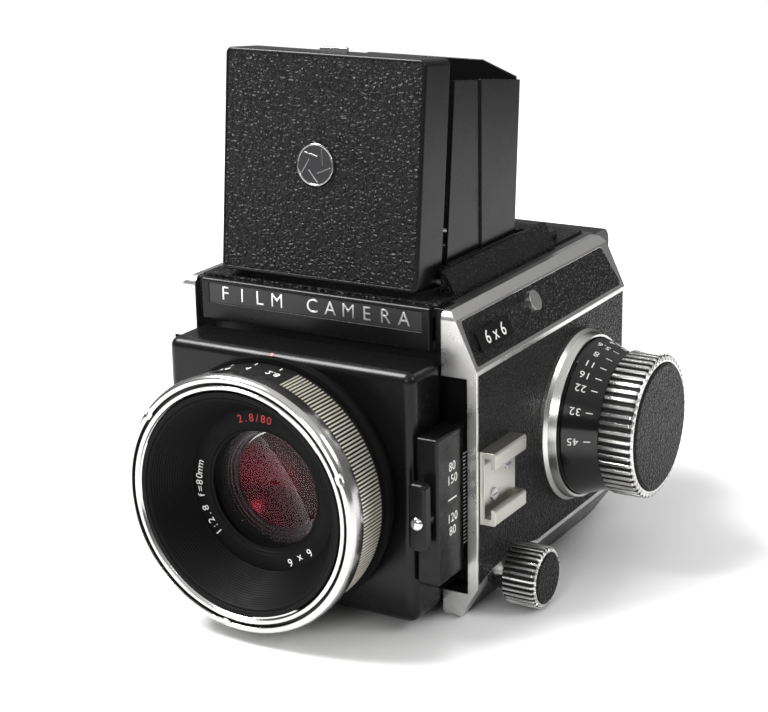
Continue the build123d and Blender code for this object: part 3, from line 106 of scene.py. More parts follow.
# ------------------------------------------------------------------------------- settings
class FinishSettings(bpy.types.PropertyGroup):
    """Colours and grain of the finishes."""

    paint: bpy.props.FloatVectorProperty(
        name="Paint", description="Black enamel of the standard and the hood", subtype="COLOR",
        size=4, default=(0.006, 0.006, 0.0065, 1))
    leather: bpy.props.FloatVectorProperty(
        name="Leather", description="Colour of the grained leatherette", subtype="COLOR",
        size=4, default=(0.007, 0.007, 0.0075, 1))
    chrome: bpy.props.FloatVectorProperty(
        name="Chrome", description="Colour of the satin and bright chrome", subtype="COLOR",
        size=4, default=(0.66, 0.655, 0.645, 1))
    marks: bpy.props.FloatVectorProperty(
        name="Marks", description="Enamel that fills the engraved numbers", subtype="COLOR",
        size=4, default=(0.85, 0.85, 0.82, 1))
    coarse_grain: bpy.props.FloatProperty(
        name="Coarse grain", description="Size of the pebbles on the hood leather", unit="LENGTH",
        default=1.7 * MM)
    fine_grain: bpy.props.FloatProperty(
        name="Fine grain", description="Size of the pebbles on the side leather", unit="LENGTH",
        default=1.3 * MM)
    edge_radius: bpy.props.FloatProperty(
        name="Edge radius", description="How round a machined edge looks", unit="LENGTH",
        default=0.3 * MM)


class LensSettings(bpy.types.PropertyGroup):
    """Sizes of the lens's rings and the colour of its coating."""

    knurl_count: bpy.props.IntProperty(
        name="Knurl ridges", description="Ridges round the aperture ring", default=210)
    knurl_depth: bpy.props.FloatProperty(
        name="Knurl depth", description="Depth of the fine knurl", unit="LENGTH", default=0.5 * MM)
    thread_count: bpy.props.IntProperty(
        name="Baffle ridges", description="Ridges down the black cone in front of the glass",
        default=17)
    coating: bpy.props.FloatVectorProperty(
        name="Coating", description="Tint of the light that the coated glass throws back",
        subtype="COLOR", size=4, default=(1.0, 0.10, 0.16, 1))


class KnobSettings(bpy.types.PropertyGroup):
    """Ribs of the two knobs on the focusing side."""

    focus_ribs: bpy.props.IntProperty(
        name="Focus ribs", description="Ribs round the focus knob", default=54)
    lock_ribs: bpy.props.IntProperty(
        name="Lock ribs", description="Ribs round the lock knob", default=32)
    rib_depth: bpy.props.FloatProperty(
        name="Rib depth", description="Depth of the grooves between ribs", unit="LENGTH",
        default=0.9 * MM)


class BellowsSettings(bpy.types.PropertyGroup):
    """Folds of the bellows."""

    pleats: bpy.props.IntProperty(
        name="Pleats", description="Number of folds in the bellows", default=7)
    pleat_depth: bpy.props.FloatProperty(
        name="Pleat depth", description="How deep each fold is", unit="LENGTH", default=4.2 * MM)


class StageSettings(bpy.types.PropertyGroup):
    """Floor, light and camera."""

    floor: bpy.props.FloatVectorProperty(
        name="Floor", description="Colour of the floor", subtype="COLOR",
        size=4, default=(0.92, 0.92, 0.92, 1))
    sky: bpy.props.FloatProperty(
        name="Sky", description="Strength of the light from straight above", default=1.0)
    horizon: bpy.props.FloatProperty(
        name="Horizon", description="Strength of the light from the sides", default=0.26)
    key: bpy.props.FloatProperty(
        name="Key light", description="Power of the large soft box", default=27.0)
    focal_length: bpy.props.FloatProperty(
        name="Focal length", description="Focal length of the view, in millimetres", default=90.52)


# ------------------------------------------------------------------------------- meshes
def grid_faces(rows, columns, close_rows=False, close_columns=False):
    """Quads between neighbouring points of a grid, the last joined to the first where it closes."""
    row = np.arange(rows if close_rows else rows - 1)[:, None]
    column = np.arange(columns if close_columns else columns - 1)[None, :]
    below, right = (row + 1) % rows, (column + 1) % columns
    quads = (row * columns + column, row * columns + right, below * columns + right, below * columns + column)
    return np.stack(quads, -1).reshape(-1, 4)


def surface(name, points, faces, material, sharp_angle=35.0):
    """A mesh object of the given points and faces, outwards, smooth up to the sharp angle."""
    mesh = bpy.data.meshes.new(name)
    mesh.from_pydata(np.asarray(points).reshape(-1, 3).tolist(), [], np.asarray(faces).tolist())
    work = bmesh.new()
    work.from_mesh(mesh)
    bmesh.ops.recalc_face_normals(work, faces=work.faces)
    work.to_mesh(mesh)
    work.free()
    mesh.shade_smooth()
    mesh.set_sharp_from_angle(angle=math.radians(sharp_angle))
    piece = bpy.data.objects.new(name, mesh)
    bpy.context.scene.collection.objects.link(piece)
    if material:
        mesh.materials.append(material)
    return piece


def merge_points(piece):
    """Close the seams and poles of a piece and point its faces outwards."""
    work = bmesh.new()
    work.from_mesh(piece.data)
    bmesh.ops.remove_doubles(work, verts=work.verts, dist=1e-7)
    bmesh.ops.dissolve_degenerate(work, edges=work.edges, dist=1e-7)
    bmesh.ops.recalc_face_normals(work, faces=work.faces)
    work.to_mesh(piece.data)
    work.free()


def turned(name, profile, steps, axis, centre, material, change=None):
    """A closed profile of (radius, distance along the axis) carried round the axis: a point is the centre
    plus radius times (sine, cosine) of the turn, which starts at the top. change(turn, profile, radius)
    gives new radii, where the outline changes round the turn."""
    profile = np.array(profile, float)
    turn = np.arange(steps) * TURN / steps
    radius = np.broadcast_to(profile[None, :, 0], (steps, len(profile)))
    if change:
        radius = change(turn[:, None], profile, radius)
    along = np.broadcast_to(profile[None, :, 1], radius.shape)
    side, up = radius * np.sin(turn)[:, None], radius * np.cos(turn)[:, None]
    if axis == "Y":
        points = np.stack([centre[0] + side, along, centre[1] + up], -1)
    else:
        points = np.stack([along, centre[0] - side, centre[1] + up], -1)
    return surface(name, points, grid_faces(steps, len(profile), True, True), material)


def lettering(name, rows, material, height, lift=0.12 * MM):
    """Raised flat characters. Each row is (text, place, share of the height), and place turns the flat
    text's (x, y, z) points, x along the reading and z off the surface, into points of the frame."""
    whole = bmesh.new()
    for text, place, share in rows:
        curve = bpy.data.curves.new(name, "FONT")
        curve.body = text
        curve.size = height * share * FONT_SIZE
        curve.align_x, curve.align_y = "CENTER", "CENTER"
        curve.extrude = lift / 2
        curve.space_character = 1.06
        curve.resolution_u = 4
        sign = bpy.data.objects.new(name, curve)
        bpy.context.scene.collection.objects.link(sign)
        graph = bpy.context.evaluated_depsgraph_get()
        flat = bpy.data.meshes.new_from_object(sign.evaluated_get(graph))
        points = np.zeros(len(flat.vertices) * 3)
        flat.vertices.foreach_get("co", points)
        points = place(points.reshape(-1, 3) + (0, 0, lift / 2))
        flat.vertices.foreach_set("co", points.ravel())
        whole.from_mesh(flat)
        bpy.data.objects.remove(sign)
    bmesh.ops.remove_doubles(whole, verts=whole.verts, dist=1e-6)
    bmesh.ops.recalc_face_normals(whole, faces=whole.faces)
    mesh = bpy.data.meshes.new(name)
    whole.to_mesh(mesh)
    whole.free()
    mesh.materials.append(material)
    piece = bpy.data.objects.new(name, mesh)
    bpy.context.scene.collection.objects.link(piece)
    return piece


def on_plane(origin, reading, up):
    """A flat place: origin plus x along the reading direction, y up and z off the surface."""
    reading, up = np.array(reading, float), np.array(up, float)
    basis = np.array([reading, up, np.cross(reading, up)])
    return lambda points: np.array(origin, float) + points @ basis


def round_lens(turn, radius, y, inwards=False):
    """A place round the outside of a ring on the lens axis, read from behind: x follows the turn,
    y runs forwards and z outwards. With inwards, x follows the turn on a flat face and y runs to the axis."""
    out, forwards = (1, 2) if inwards else (2, 1)

    def place(points):
        angle = turn + points[:, 0] / radius
        reach = radius + points[:, out]
        return np.stack([reach * np.sin(angle), y - points[:, forwards], LENS_Z + reach * np.cos(angle)], -1)
    return place


def round_knob(turn, radius_at, x, centre):
    """A place on a knob's drum: the reading runs along the axis towards the body, and up follows the
    surface down the front. The turn is measured from the front, upwards."""
    def place(points):
        along = x - points[:, 0]
        reach = radius_at(along) + points[:, 2]
        angle = turn - points[:, 1] / radius_at(x)
        return np.stack([along, centre[0] - reach * np.cos(angle), centre[1] + reach * np.sin(angle)], -1)
    return place


def bar(length, width):
    """The four corners of a flat bar, for a tick."""
    return np.array([(-length / 2, -width / 2), (length / 2, -width / 2), (length / 2, width / 2),
                     (-length / 2, width / 2)])


def ticks(name, places, material, lift=0.12 * MM):
    """Thin raised bars, each (place, length, width), as closed boxes."""
    points, faces = [], []
    sides = np.array([(0, 1, 2, 3), (7, 6, 5, 4), (0, 4, 5, 1), (1, 5, 6, 2), (2, 6, 7, 3), (3, 7, 4, 0)])
    for number, (place, length, width) in enumerate(places):
        flat = bar(length, width)
        low, high = np.c_[flat, np.zeros(4)], np.c_[flat, np.full(4, lift)]
        points.append(place(np.vstack([low, high])))
        faces.append(sides + 8 * number)
    return surface(name, np.vstack(points), np.vstack(faces), material, 30)


def box_middle(low, high):
    """The middle of a box."""
    return (np.array(low, float) + np.array(high, float)) / 2


def mount(piece, body, slot, *nodes):
    """The piece moves with the body and stands for the nodes. The slot is not used."""
    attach(piece, body)
    if nodes:
        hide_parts(*nodes)
    return piece


# ------------------------------------------------------------------------------- shader groups
def new_group(name, inputs, outputs):
    """An empty shader group with the sockets given as (label, kind, value) and (label, kind)."""
    group = bpy.data.node_groups.new(name, "ShaderNodeTree")
    for label, kind, value in inputs:
        group.interface.new_socket(label, in_out="INPUT", socket_type=kind).default_value = value
    for label, kind in outputs:
        group.interface.new_socket(label, in_out="OUTPUT", socket_type=kind)
    return group, Wiring(group)


class Wiring:
    """Short ways to add and join the nodes of one tree."""

    def __init__(self, tree):
        self.tree = tree
        if tree.type == "SHADER" and tree.interface.items_tree:
            self.source = tree.nodes.new("NodeGroupInput")
            self.sink = tree.nodes.new("NodeGroupOutput")

    def add(self, kind, values=(), **settings):
        """A node with its settings, and values for its sockets by name or number: a socket is joined."""
        node = self.tree.nodes.new(kind)
        for key, value in settings.items():
            setattr(node, key, value)
        for key, value in dict(values).items():
            if isinstance(value, bpy.types.NodeSocket):
                self.tree.links.new(value, node.inputs[key])
            else:
                node.inputs[key].default_value = value
        return node

    def maths(self, operation, first, second=0.0, clamp=False):
        """One sum, product or comparison of two values."""
        return self.add("ShaderNodeMath", {0: first, 1: second}, operation=operation,
                        use_clamp=clamp).outputs[0]

    def between(self, value, low, high, low_out=0.0, high_out=1.0):
        """The value moved from one range into another, eased and held at its ends."""
        node = self.add("ShaderNodeMapRange", {0: value, 1: low, 2: high, 3: low_out, 4: high_out},
                        interpolation_type="SMOOTHSTEP")
        return node.outputs[0]

    def mix(self, factor, first, second):
        """A colour between two colours."""
        node = self.add("ShaderNodeMix", {0: factor, 6: first, 7: second}, data_type="RGBA")
        return node.outputs[2]

    def place(self):
        """Object coordinates, in metres."""
        return self.add("ShaderNodeTexCoord").outputs["Object"]

    def parts(self):
        """The x, y and z of a point, in metres."""
        return self.add("ShaderNodeSeparateXYZ", {0: self.place()}).outputs

    def noise(self, vector, scale, detail=2.0, rough=0.5):
        """Soft noise at a scale of so many per metre."""
        node = self.add("ShaderNodeTexNoise", {"Vector": vector, "Scale": scale, "Detail": detail,
                                               "Roughness": rough})
        return node.outputs[0]


def edge_group():
    """Rounded-looking edges, and a mask of the wear along them: one minus the dot product of the true
    normal and the rounded one, broken up by noise."""
    group, work = new_group("edge_wear", [("Radius", "NodeSocketFloat", 0.3 * MM),
                                          ("Amount", "NodeSocketFloat", 1.0)],
                            [("Worn", "NodeSocketFloat"), ("Normal", "NodeSocketVector")])
    rounded = work.add("ShaderNodeBevel", {"Radius": work.source.outputs["Radius"]}, samples=4)
    true = work.add("ShaderNodeNewGeometry").outputs["Normal"]
    dot = work.add("ShaderNodeVectorMath", {0: rounded.outputs[0], 1: true}, operation="DOT_PRODUCT")
    bend = work.maths("SUBTRACT", 1.0, dot.outputs["Value"])
    patchy = work.noise(work.place(), 420.0, 4.0, 0.65)
    worn = work.maths("MULTIPLY", work.between(bend, 0.02, 0.22), work.between(patchy, 0.40, 0.62))
    worn = work.maths("MULTIPLY", worn, work.source.outputs["Amount"], True)
    work.tree.links.new(worn, work.sink.inputs["Worn"])
    work.tree.links.new(rounded.outputs[0], work.sink.inputs["Normal"])
    return group


def leather_group():
    """Pebbled leatherette: cells with soft tops and narrow creases, over a finer wrinkle."""
    group, work = new_group("leather_grain", [("Cell", "NodeSocketFloat", 1.2 * MM)],
                            [("Height", "NodeSocketFloat"), ("Crease", "NodeSocketFloat")])
    place = work.place()
    scale = work.maths("DIVIDE", 1.0, work.source.outputs["Cell"])
    shove = work.add("ShaderNodeTexNoise", {"Vector": place, "Scale": work.maths("MULTIPLY", scale, 0.7),
                                            "Detail": 2.0})
    centred = work.add("ShaderNodeVectorMath", {0: shove.outputs["Color"], 1: (0.5, 0.5, 0.5)},
                       operation="SUBTRACT")
    reach = work.maths("MULTIPLY", work.source.outputs["Cell"], 1.5)
    moved = work.add("ShaderNodeVectorMath", {0: centred.outputs[0], "Scale": reach}, operation="SCALE")
    bent = work.add("ShaderNodeVectorMath", {0: place, 1: moved.outputs[0]}, operation="ADD")
    cells = work.add("ShaderNodeTexVoronoi", {"Vector": bent.outputs[0], "Scale": scale},
                     feature="DISTANCE_TO_EDGE")
    top = work.between(cells.outputs["Distance"], 0.02, 0.34)
    fine = work.noise(place, work.maths("MULTIPLY", scale, 3.2), 3.0)
    height = work.maths("ADD", work.maths("MULTIPLY", top, 0.85), work.maths("MULTIPLY", fine, 0.3))
    crease = work.between(cells.outputs["Distance"], 0.0, 0.10, 1.0, 0.0)
    work.tree.links.new(height, work.sink.inputs["Height"])
    work.tree.links.new(crease, work.sink.inputs["Crease"])
    return group


def grain_group():
    """Fine unevenness of a machined or painted face: smudges a centimetre wide and a grain of the size
    given."""
    group, work = new_group("surface_grain", [("Grain", "NodeSocketFloat", 0.15 * MM)],
                            [("Smudge", "NodeSocketFloat"), ("Grain", "NodeSocketFloat")])
    place = work.place()
    smudge = work.noise(place, 85.0, 4.0, 0.6)
    speck = work.noise(place, work.maths("DIVIDE", 1.0, work.source.outputs["Grain"]), 2.0)
    work.tree.links.new(work.between(smudge, 0.35, 0.68), work.sink.inputs["Smudge"])
    work.tree.links.new(speck, work.sink.inputs["Grain"])
    return group


class Finish(Wiring):
    """A material under construction, around its Principled shader."""

    def __init__(self, name, **constants):
        self.material = bpy.data.materials.new(name)
        self.material.use_nodes = True
        super().__init__(self.material.node_tree)
        self.shader = self.tree.nodes["Principled BSDF"]
        for key, value in constants.items():
            self.shader.inputs[key.replace("_", " ")].default_value = value

    def feed(self, **links):
        """Join sockets to the shader."""
        for key, value in links.items():
            self.tree.links.new(value, self.shader.inputs[key.replace("_", " ")])

    def use(self, group, **values):
        """A shared group with this material's own values."""
        node = self.add("ShaderNodeGroup")
        node.node_tree = bpy.data.node_groups[group]
        for key, value in values.items():
            node.inputs[key.replace("_", " ")].default_value = value
        return node.outputs

    def bump(self, height, distance, normal=None):
        """A relief of the distance in metres where the height is one, on top of the normal given."""
        values = {"Height": height, "Distance": distance}
        if normal is not None:
            values["Normal"] = normal
        return self.add("ShaderNodeBump", values).outputs[0]

    def axis_distance(self, z, y=None):
        """Distance of a point from the axis along X through y and z, or without y from the axis along Y
        at x = 0 and z, and the point's parts."""
        parts = self.parts()
        aside = parts[0] if y is None else self.maths("SUBTRACT", parts[1], y)
        up = self.maths("SUBTRACT", parts[2], z)
        squares = self.maths("ADD", self.maths("MULTIPLY", aside, aside), self.maths("MULTIPLY", up, up))
        return self.maths("SQRT", squares), parts


def tone(colour, factor):
    """A colour made lighter or darker."""
    return (colour[0] * factor, colour[1] * factor, colour[2] * factor, 1)


# ------------------------------------------------------------------------------- finishes
def plated(name, colour, rough, grain=0.12 * MM, wear=0.0, relief=0.004 * MM, metallic=1.0, under=None,
           radius=0.3 * MM, gloss=0.5):
    """Metal or a coat on metal: fine grain, smudges in the roughness and edges that look rounded; wear
    shows the metal under a coat."""
    finish = Finish(name, Metallic=metallic, Specular_IOR_Level=gloss)
    edge = finish.use("edge_wear", Radius=radius, Amount=wear)
    grains = finish.use("surface_grain", Grain=grain)
    base = finish.mix(grains["Smudge"], tuple(colour), tone(colour, 0.94))
    if under:
        base = finish.mix(edge["Worn"], base, tuple(under))
    roughness = finish.between(grains["Smudge"], 0.0, 1.0, rough * 0.94, rough * 1.08)
    normal = finish.bump(grains["Grain"], relief, edge["Normal"])
    finish.feed(Base_Color=base, Roughness=roughness, Normal=normal)
    if under:
        finish.feed(Metallic=finish.maths("MAXIMUM", edge["Worn"], metallic))
    return finish.material


def leather(name, colour, cell, relief, rough=0.30, upper=None):
    """Grained leatherette, duller in its creases, with painted shade in its colour: dark in the creases,
    lighter on the pebbles. With upper, (height, cell), the grain has another size above that height."""
    finish = Finish(name, Specular_IOR_Level=0.24)
    grain = finish.use("leather_grain", Cell=cell)
    if upper:
        size = finish.between(finish.parts()[2], upper[0], upper[0] + 0.1 * MM, cell, upper[1])
        finish.tree.links.new(size, grain["Height"].node.inputs["Cell"])
    edge = finish.use("edge_wear", Radius=0.4 * MM, Amount=0.0)
    spots = finish.use("surface_grain", Grain=0.4 * MM)
    # painted shade: the colour is darkened in the creases and lightened on the pebbles
    base = finish.mix(grain["Crease"], tone(colour, 1.5), tone(colour, 0.15))
    base = finish.mix(spots["Smudge"], base, tuple(colour))
    roughness = finish.between(grain["Crease"], 0.0, 1.0, rough, rough + 0.4)
    finish.feed(Base_Color=base, Roughness=roughness,
                Normal=finish.bump(grain["Height"], relief, edge["Normal"]))
    return finish.material


def enamel(name, colour):
    """Paint that fills numbers and marks, slightly uneven."""
    finish = Finish(name)
    grains = finish.use("surface_grain", Grain=0.2 * MM)
    finish.feed(Base_Color=finish.mix(grains["Smudge"], tuple(colour), tone(colour, 0.86)),
                Roughness=finish.between(grains["Grain"], 0.2, 0.8, 0.304, 0.456))
    return finish.material


def ribbed_metal(name, y, z, radius, depth, face, chrome):
    """Bright rib tops and a bright rim at the face, with black grooves between: bright by distance from
    the axis, and near the face's place along X."""
    finish = Finish(name)
    edge = finish.use("edge_wear", Radius=0.12 * MM, Amount=0.0)
    grains = finish.use("surface_grain", Grain=0.12 * MM)
    distance, parts = finish.axis_distance(z, y)
    tops = finish.between(distance, radius - 0.50 * depth, radius - 0.25 * depth)
    rim = finish.between(parts[0], face - 0.75 * MM, face - 0.45 * MM)
    bright = finish.maths("MAXIMUM", tops, rim)
    metal = finish.mix(grains["Smudge"], tuple(chrome), tone(chrome, 0.86))
    finish.feed(Base_Color=finish.mix(bright, (0.006, 0.006, 0.006, 1), metal), Metallic=bright,
                Roughness=finish.between(bright, 0.0, 1.0, 0.5, 0.24),
                Normal=finish.bump(grains["Grain"], 0.002 * MM, edge["Normal"]))
    return finish.material


def stepped_chrome(name, grooves, front, chrome):
    """Polished chrome rings about the lens axis, with painted shade: the grooves between them are coloured
    black and not metallic. Each groove is (inner radius, outer radius), and counts behind the front by half a
    millimetre."""
    finish = Finish(name)
    edge = finish.use("edge_wear", Radius=0.2 * MM, Amount=0.0)
    grains = finish.use("surface_grain", Grain=0.2 * MM)
    distance, parts = finish.axis_distance(LENS_Z)
    # painted shade: the inside of each groove is coloured black and made non-metallic
    dark = 0.0
    for inner, outer in grooves:
        ring = finish.maths("MULTIPLY", finish.maths("GREATER_THAN", distance, inner),
                            finish.maths("LESS_THAN", distance, outer))
        dark = finish.maths("MAXIMUM", dark, ring)
    dark = finish.maths("MULTIPLY", dark, finish.maths("GREATER_THAN", parts[1], front + 0.5 * MM))
    metal = finish.mix(grains["Smudge"], tuple(chrome), tone(chrome, 0.9))
    finish.feed(Base_Color=finish.mix(dark, metal, (0.008, 0.008, 0.008, 1)),
                Metallic=finish.maths("SUBTRACT", 1.0, dark),
                Roughness=finish.between(dark, 0.0, 1.0, 0.17, 0.5),
                Normal=finish.bump(grains["Grain"], 0.001 * MM, edge["Normal"]))
    return finish.material


def framed_chrome(name, chrome, skirt, front):
    """Satin chrome, painted black below the skirt's height behind the front."""
    finish = Finish(name)
    edge = finish.use("edge_wear", Radius=0.4 * MM, Amount=0.0)
    grains = finish.use("surface_grain", Grain=0.1 * MM)
    parts = finish.parts()
    painted = finish.maths("MULTIPLY", finish.maths("LESS_THAN", parts[2], skirt),
                           finish.maths("GREATER_THAN", parts[1], front))
    metal = finish.mix(grains["Smudge"], tuple(chrome), tone(chrome, 0.94))
    finish.feed(Base_Color=finish.mix(painted, metal, (0.006, 0.006, 0.006, 1)),
                Metallic=finish.maths("SUBTRACT", 1.0, painted),
                Roughness=finish.between(grains["Smudge"], 0.0, 1.0, 0.27, 0.31),
                Normal=edge["Normal"])
    return finish.material


def brushed_round(name, colour, rough, y, z):
    """Metal turned on a lathe, with fine rings about an axis along X."""
    finish = Finish(name, Metallic=1.0)
    edge = finish.use("edge_wear", Radius=0.2 * MM, Amount=0.0)
    distance = finish.axis_distance(z, y)[0]
    rings = finish.noise(finish.add("ShaderNodeCombineXYZ", {0: distance}).outputs[0], 9000.0, 2.0)
    finish.feed(Base_Color=finish.mix(rings, tuple(colour), tone(colour, 0.8)),
                Roughness=finish.between(rings, 0.2, 0.8, rough * 0.8, rough * 1.2),
                Normal=finish.bump(rings, 0.003 * MM, edge["Normal"]))
    return finish.material


def leather_panel(name, paint, cell, low, high, margin):
    """Smooth black with a raised leather panel on the rear face, a margin inside the face's edges, and
    painted shade darkening the panel's creases.
    """
    finish = Finish(name, Specular_IOR_Level=0.24)
    grain = finish.use("leather_grain", Cell=cell)
    edge = finish.use("edge_wear", Radius=0.5 * MM, Amount=0.0)
    parts = finish.parts()
    inside = finish.maths("GREATER_THAN", parts[1], high.y - 0.3 * MM)
    for axis, first, last in ((0, low.x, high.x), (2, low.z, high.z)):
        from_middle = finish.maths("ABSOLUTE", finish.maths("SUBTRACT", parts[axis], (first + last) / 2))
        edge_place = (last - first) / 2 - margin
        inside = finish.maths("MULTIPLY", inside,
                              finish.between(from_middle, edge_place - 0.2 * MM, edge_place, 1.0, 0.0))
    step = finish.maths("ADD", finish.maths("MULTIPLY", grain["Height"], inside), inside)
    # painted shade: the panel's creases are darkened in the colour
    crease_shade = finish.maths("MULTIPLY", grain["Crease"], inside)
    finish.feed(Base_Color=finish.mix(crease_shade, tuple(paint), tone(paint, 0.2)),
                Roughness=finish.between(inside, 0.0, 1.0, 0.28, 0.36),
                Normal=finish.bump(step, 0.4 * MM, edge["Normal"]))
    return finish.material


def coated_glass(name, tint, coating, share):
    """Clear glass whose reflections carry the colour of its coating; the share is how much of the glass
    is seen rather than what lies behind it."""
    finish = Finish(name, Base_Color=tint, Roughness=0.0, IOR=1.5, Specular_IOR_Level=0.15, Metallic=0.0,
                    Transmission_Weight=1.0, Alpha=share)
    finish.shader.inputs["Specular Tint"].default_value = tuple(coating)
    return finish.material


def dark_glass(name, coating, tint):
    """A coated glass deep in the barrel, with a strong tinted reflection; its nearly black colour is painted
    shade of the dark barrel behind it, and its faint red is a painted reflection of the coating.
    """
    # painted shade and painted reflection: the base colour stands for the dark barrel and the coating's red
    finish = Finish(name, Base_Color=tint, Roughness=0.2, IOR=1.5, Metallic=0.0)
    finish.shader.inputs["Specular Tint"].default_value = tuple(coating)
    return finish.material


def ground_screen(name):
    """Ground glass with fine cross lines every centimetre."""
    finish = Finish(name, Transmission_Weight=0.35, Roughness=0.55)
    parts = finish.parts()
    lines = []
    for value in (parts[0], parts[1]):
        step = finish.maths("PINGPONG", value, 5.0 * MM)
        lines.append(finish.between(step, 0.08 * MM, 0.16 * MM, 1.0, 0.0))
    grid = finish.maths("MAXIMUM", *lines)
    grains = finish.use("surface_grain", Grain=0.08 * MM)
    finish.feed(Base_Color=finish.mix(grid, (0.62, 0.65, 0.63, 1), (0.04, 0.04, 0.04, 1)),
                Normal=finish.bump(grains["Grain"], 0.02 * MM))
    return finish.material


def bellows_cloth(name, colour):
    """Rubberised cloth with a fine weave and lighter rubbed patches."""
    finish = Finish(name, Roughness=0.6, Sheen_Weight=0.15)
    parts = finish.parts()
    weave = [finish.maths("SINE", finish.maths("MULTIPLY", part, TURN / (0.5 * MM))) for part in parts]
    height = finish.maths("ADD", finish.maths("ADD", weave[0], weave[1]), weave[2])
    grains = finish.use("surface_grain", Grain=0.5 * MM)
    finish.feed(Base_Color=finish.mix(grains["Smudge"], tuple(colour), tone(colour, 2.2)),
                Normal=finish.bump(height, 0.02 * MM))
    return finish.material


def build_finishes(look, coating):
    """The materials that nodes and pieces share, by name."""
    chrome, steel = look.chrome, (0.60, 0.60, 0.61, 1)
    black, alloy = look.paint, (0.58, 0.57, 0.53, 1)
    radius = look.edge_radius
    door_low, door_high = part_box("magazine_door")
    return {
        "satin_chrome": plated("satin_chrome", chrome, 0.29, 0.10 * MM, relief=0.0006 * MM, radius=radius),
        "framed_chrome": framed_chrome("framed_chrome", chrome, SKIRT_Z, FRAME_FRONT + 6 * MM),
        "bright_chrome": plated("bright_chrome", chrome, 0.12, 0.3 * MM, relief=0.001 * MM, radius=radius),
        "steel": plated("turned_steel", steel, 0.28, radius=radius),
        "aluminium": plated("blasted_aluminium", alloy, 0.38, 0.10 * MM, relief=0.012 * MM,
                            radius=radius * 0.8),
        "black_paint": plated("black_enamel", black, 0.26, 0.5 * MM, 0.25, 0.006 * MM, 0.0,
                              (0.10, 0.095, 0.085, 1), radius * 1.5, 0.26),
        "gloss_black": plated("gloss_black", (0.004, 0.004, 0.004, 1), 0.12, 0.5 * MM, 0.0, 0.002 * MM, 0.0,
                              gloss=0.5),
        "black_anodised": plated("black_anodised", (0.008, 0.008, 0.0085, 1), 0.36, 0.12 * MM, 0.4,
                                 0.004 * MM, 0.0, (0.18, 0.18, 0.18, 1), radius, 0.20),
        "matt_black": plated("matt_black", (0.005, 0.005, 0.005, 1), 0.55, 0.12 * MM, 0.0, 0.004 * MM, 0.0,
                             gloss=0.12),
        "casting": plated("blackened_casting", (0.035, 0.035, 0.037, 1), 0.5, 0.25 * MM, 0.3, 0.03 * MM,
                          0.0, (0.2, 0.2, 0.2, 1), radius),
        "brass": plated("machined_brass", (0.68, 0.50, 0.22, 1), 0.25),
        "grey_plate": plated("grey_plate", (0.022, 0.022, 0.024, 1), 0.40, 0.1 * MM, 0.0, 0.004 * MM, 0.0),
        "coarse_leather": leather("coarse_leather", look.leather, look.coarse_grain, 0.50 * MM, 0.36),
        "fine_leather": leather("fine_leather", look.leather, look.fine_grain, 0.50 * MM, 0.32),
        "side_leather": leather("side_leather", look.leather, look.fine_grain, 0.55 * MM, 0.30,
                                (UPPER_PANEL_Z, look.coarse_grain)),
        "white_enamel": enamel("white_enamel", look.marks),
        "red_enamel": enamel("red_enamel", (0.50, 0.008, 0.012, 1)),
        "cloth": bellows_cloth("bellows_cloth", (0.012, 0.012, 0.013, 1)),
        "screen": ground_screen("ground_screen"),
        "mirror": plated("silvered_mirror", (0.88, 0.89, 0.90, 1), 0.04, 0.4 * MM, relief=0.0),
        "turned_alloy": brushed_round("turned_alloy", (0.62, 0.62, 0.60, 1), 0.25, KNOB_Y, KNOB_Z),
        "front_glass": coated_glass("front_glass", (0.97, 0.95, 0.96, 1), (0.75, 0.30, 0.45, 1), 0.10),
        # painted shade with a painted red reflection, as the deep glass's colour
        "deep_glass": dark_glass("deep_glass", coating, (0.016, 0.0010, 0.0025, 1)),
        "door_panel": leather_panel("door_panel", look.leather, look.coarse_grain, door_low, door_high,
                                    3.5 * MM),
    }


MATERIALS = {}
NODE_FINISH = {
    "side_leathers": "side_leather", "side_frame_right": "framed_chrome",
    "side_frame_left": "framed_chrome", "finder_frame": "coarse_leather",
    "top_leather": "coarse_leather", "lid_leather": "coarse_leather", "focus_flange": "turned_alloy",
    "focus_drum": "gloss_black", "lens_barrel": "matt_black", "carriage_yoke": "matt_black",
    "side_badge": "black_paint", "film_spools": "black_anodised", "magazine_door": "door_panel",
}
SLOT_FINISH = {
    "chrome": "satin_chrome", "steel": "steel", "aluminium": "aluminium", "black_paint": "black_paint",
    "black_anodised": "black_anodised", "casting": "casting", "leather": "fine_leather",
    "ground_glass": "screen", "mirror": "mirror", "cloth": "cloth", "plastic": "matt_black",
    "brass": "brass", "grey_plate": "grey_plate", "glass": "front_glass",
}


def dress(node, material):
    """Give a CAD node one material."""
    mesh = frame["nodes"][node].data
    mesh.materials.clear()
    mesh.materials.append(material)


class REFLEX_OT_finishes(bpy.types.Operator):
    """Build the materials and give each CAD piece its finish."""

    bl_idname = "reflex.finishes"
    bl_label = "Finishes"

    def execute(self, context):
        edge_group()
        leather_group()
        grain_group()
        MATERIALS.update(build_finishes(context.scene.reflex_finish, context.scene.reflex_lens.coating))
        for node in frame["nodes"]:
            dress(node, MATERIALS[NODE_FINISH.get(node, SLOT_FINISH[SLOTS[node]])])
        return {"FINISHED"}


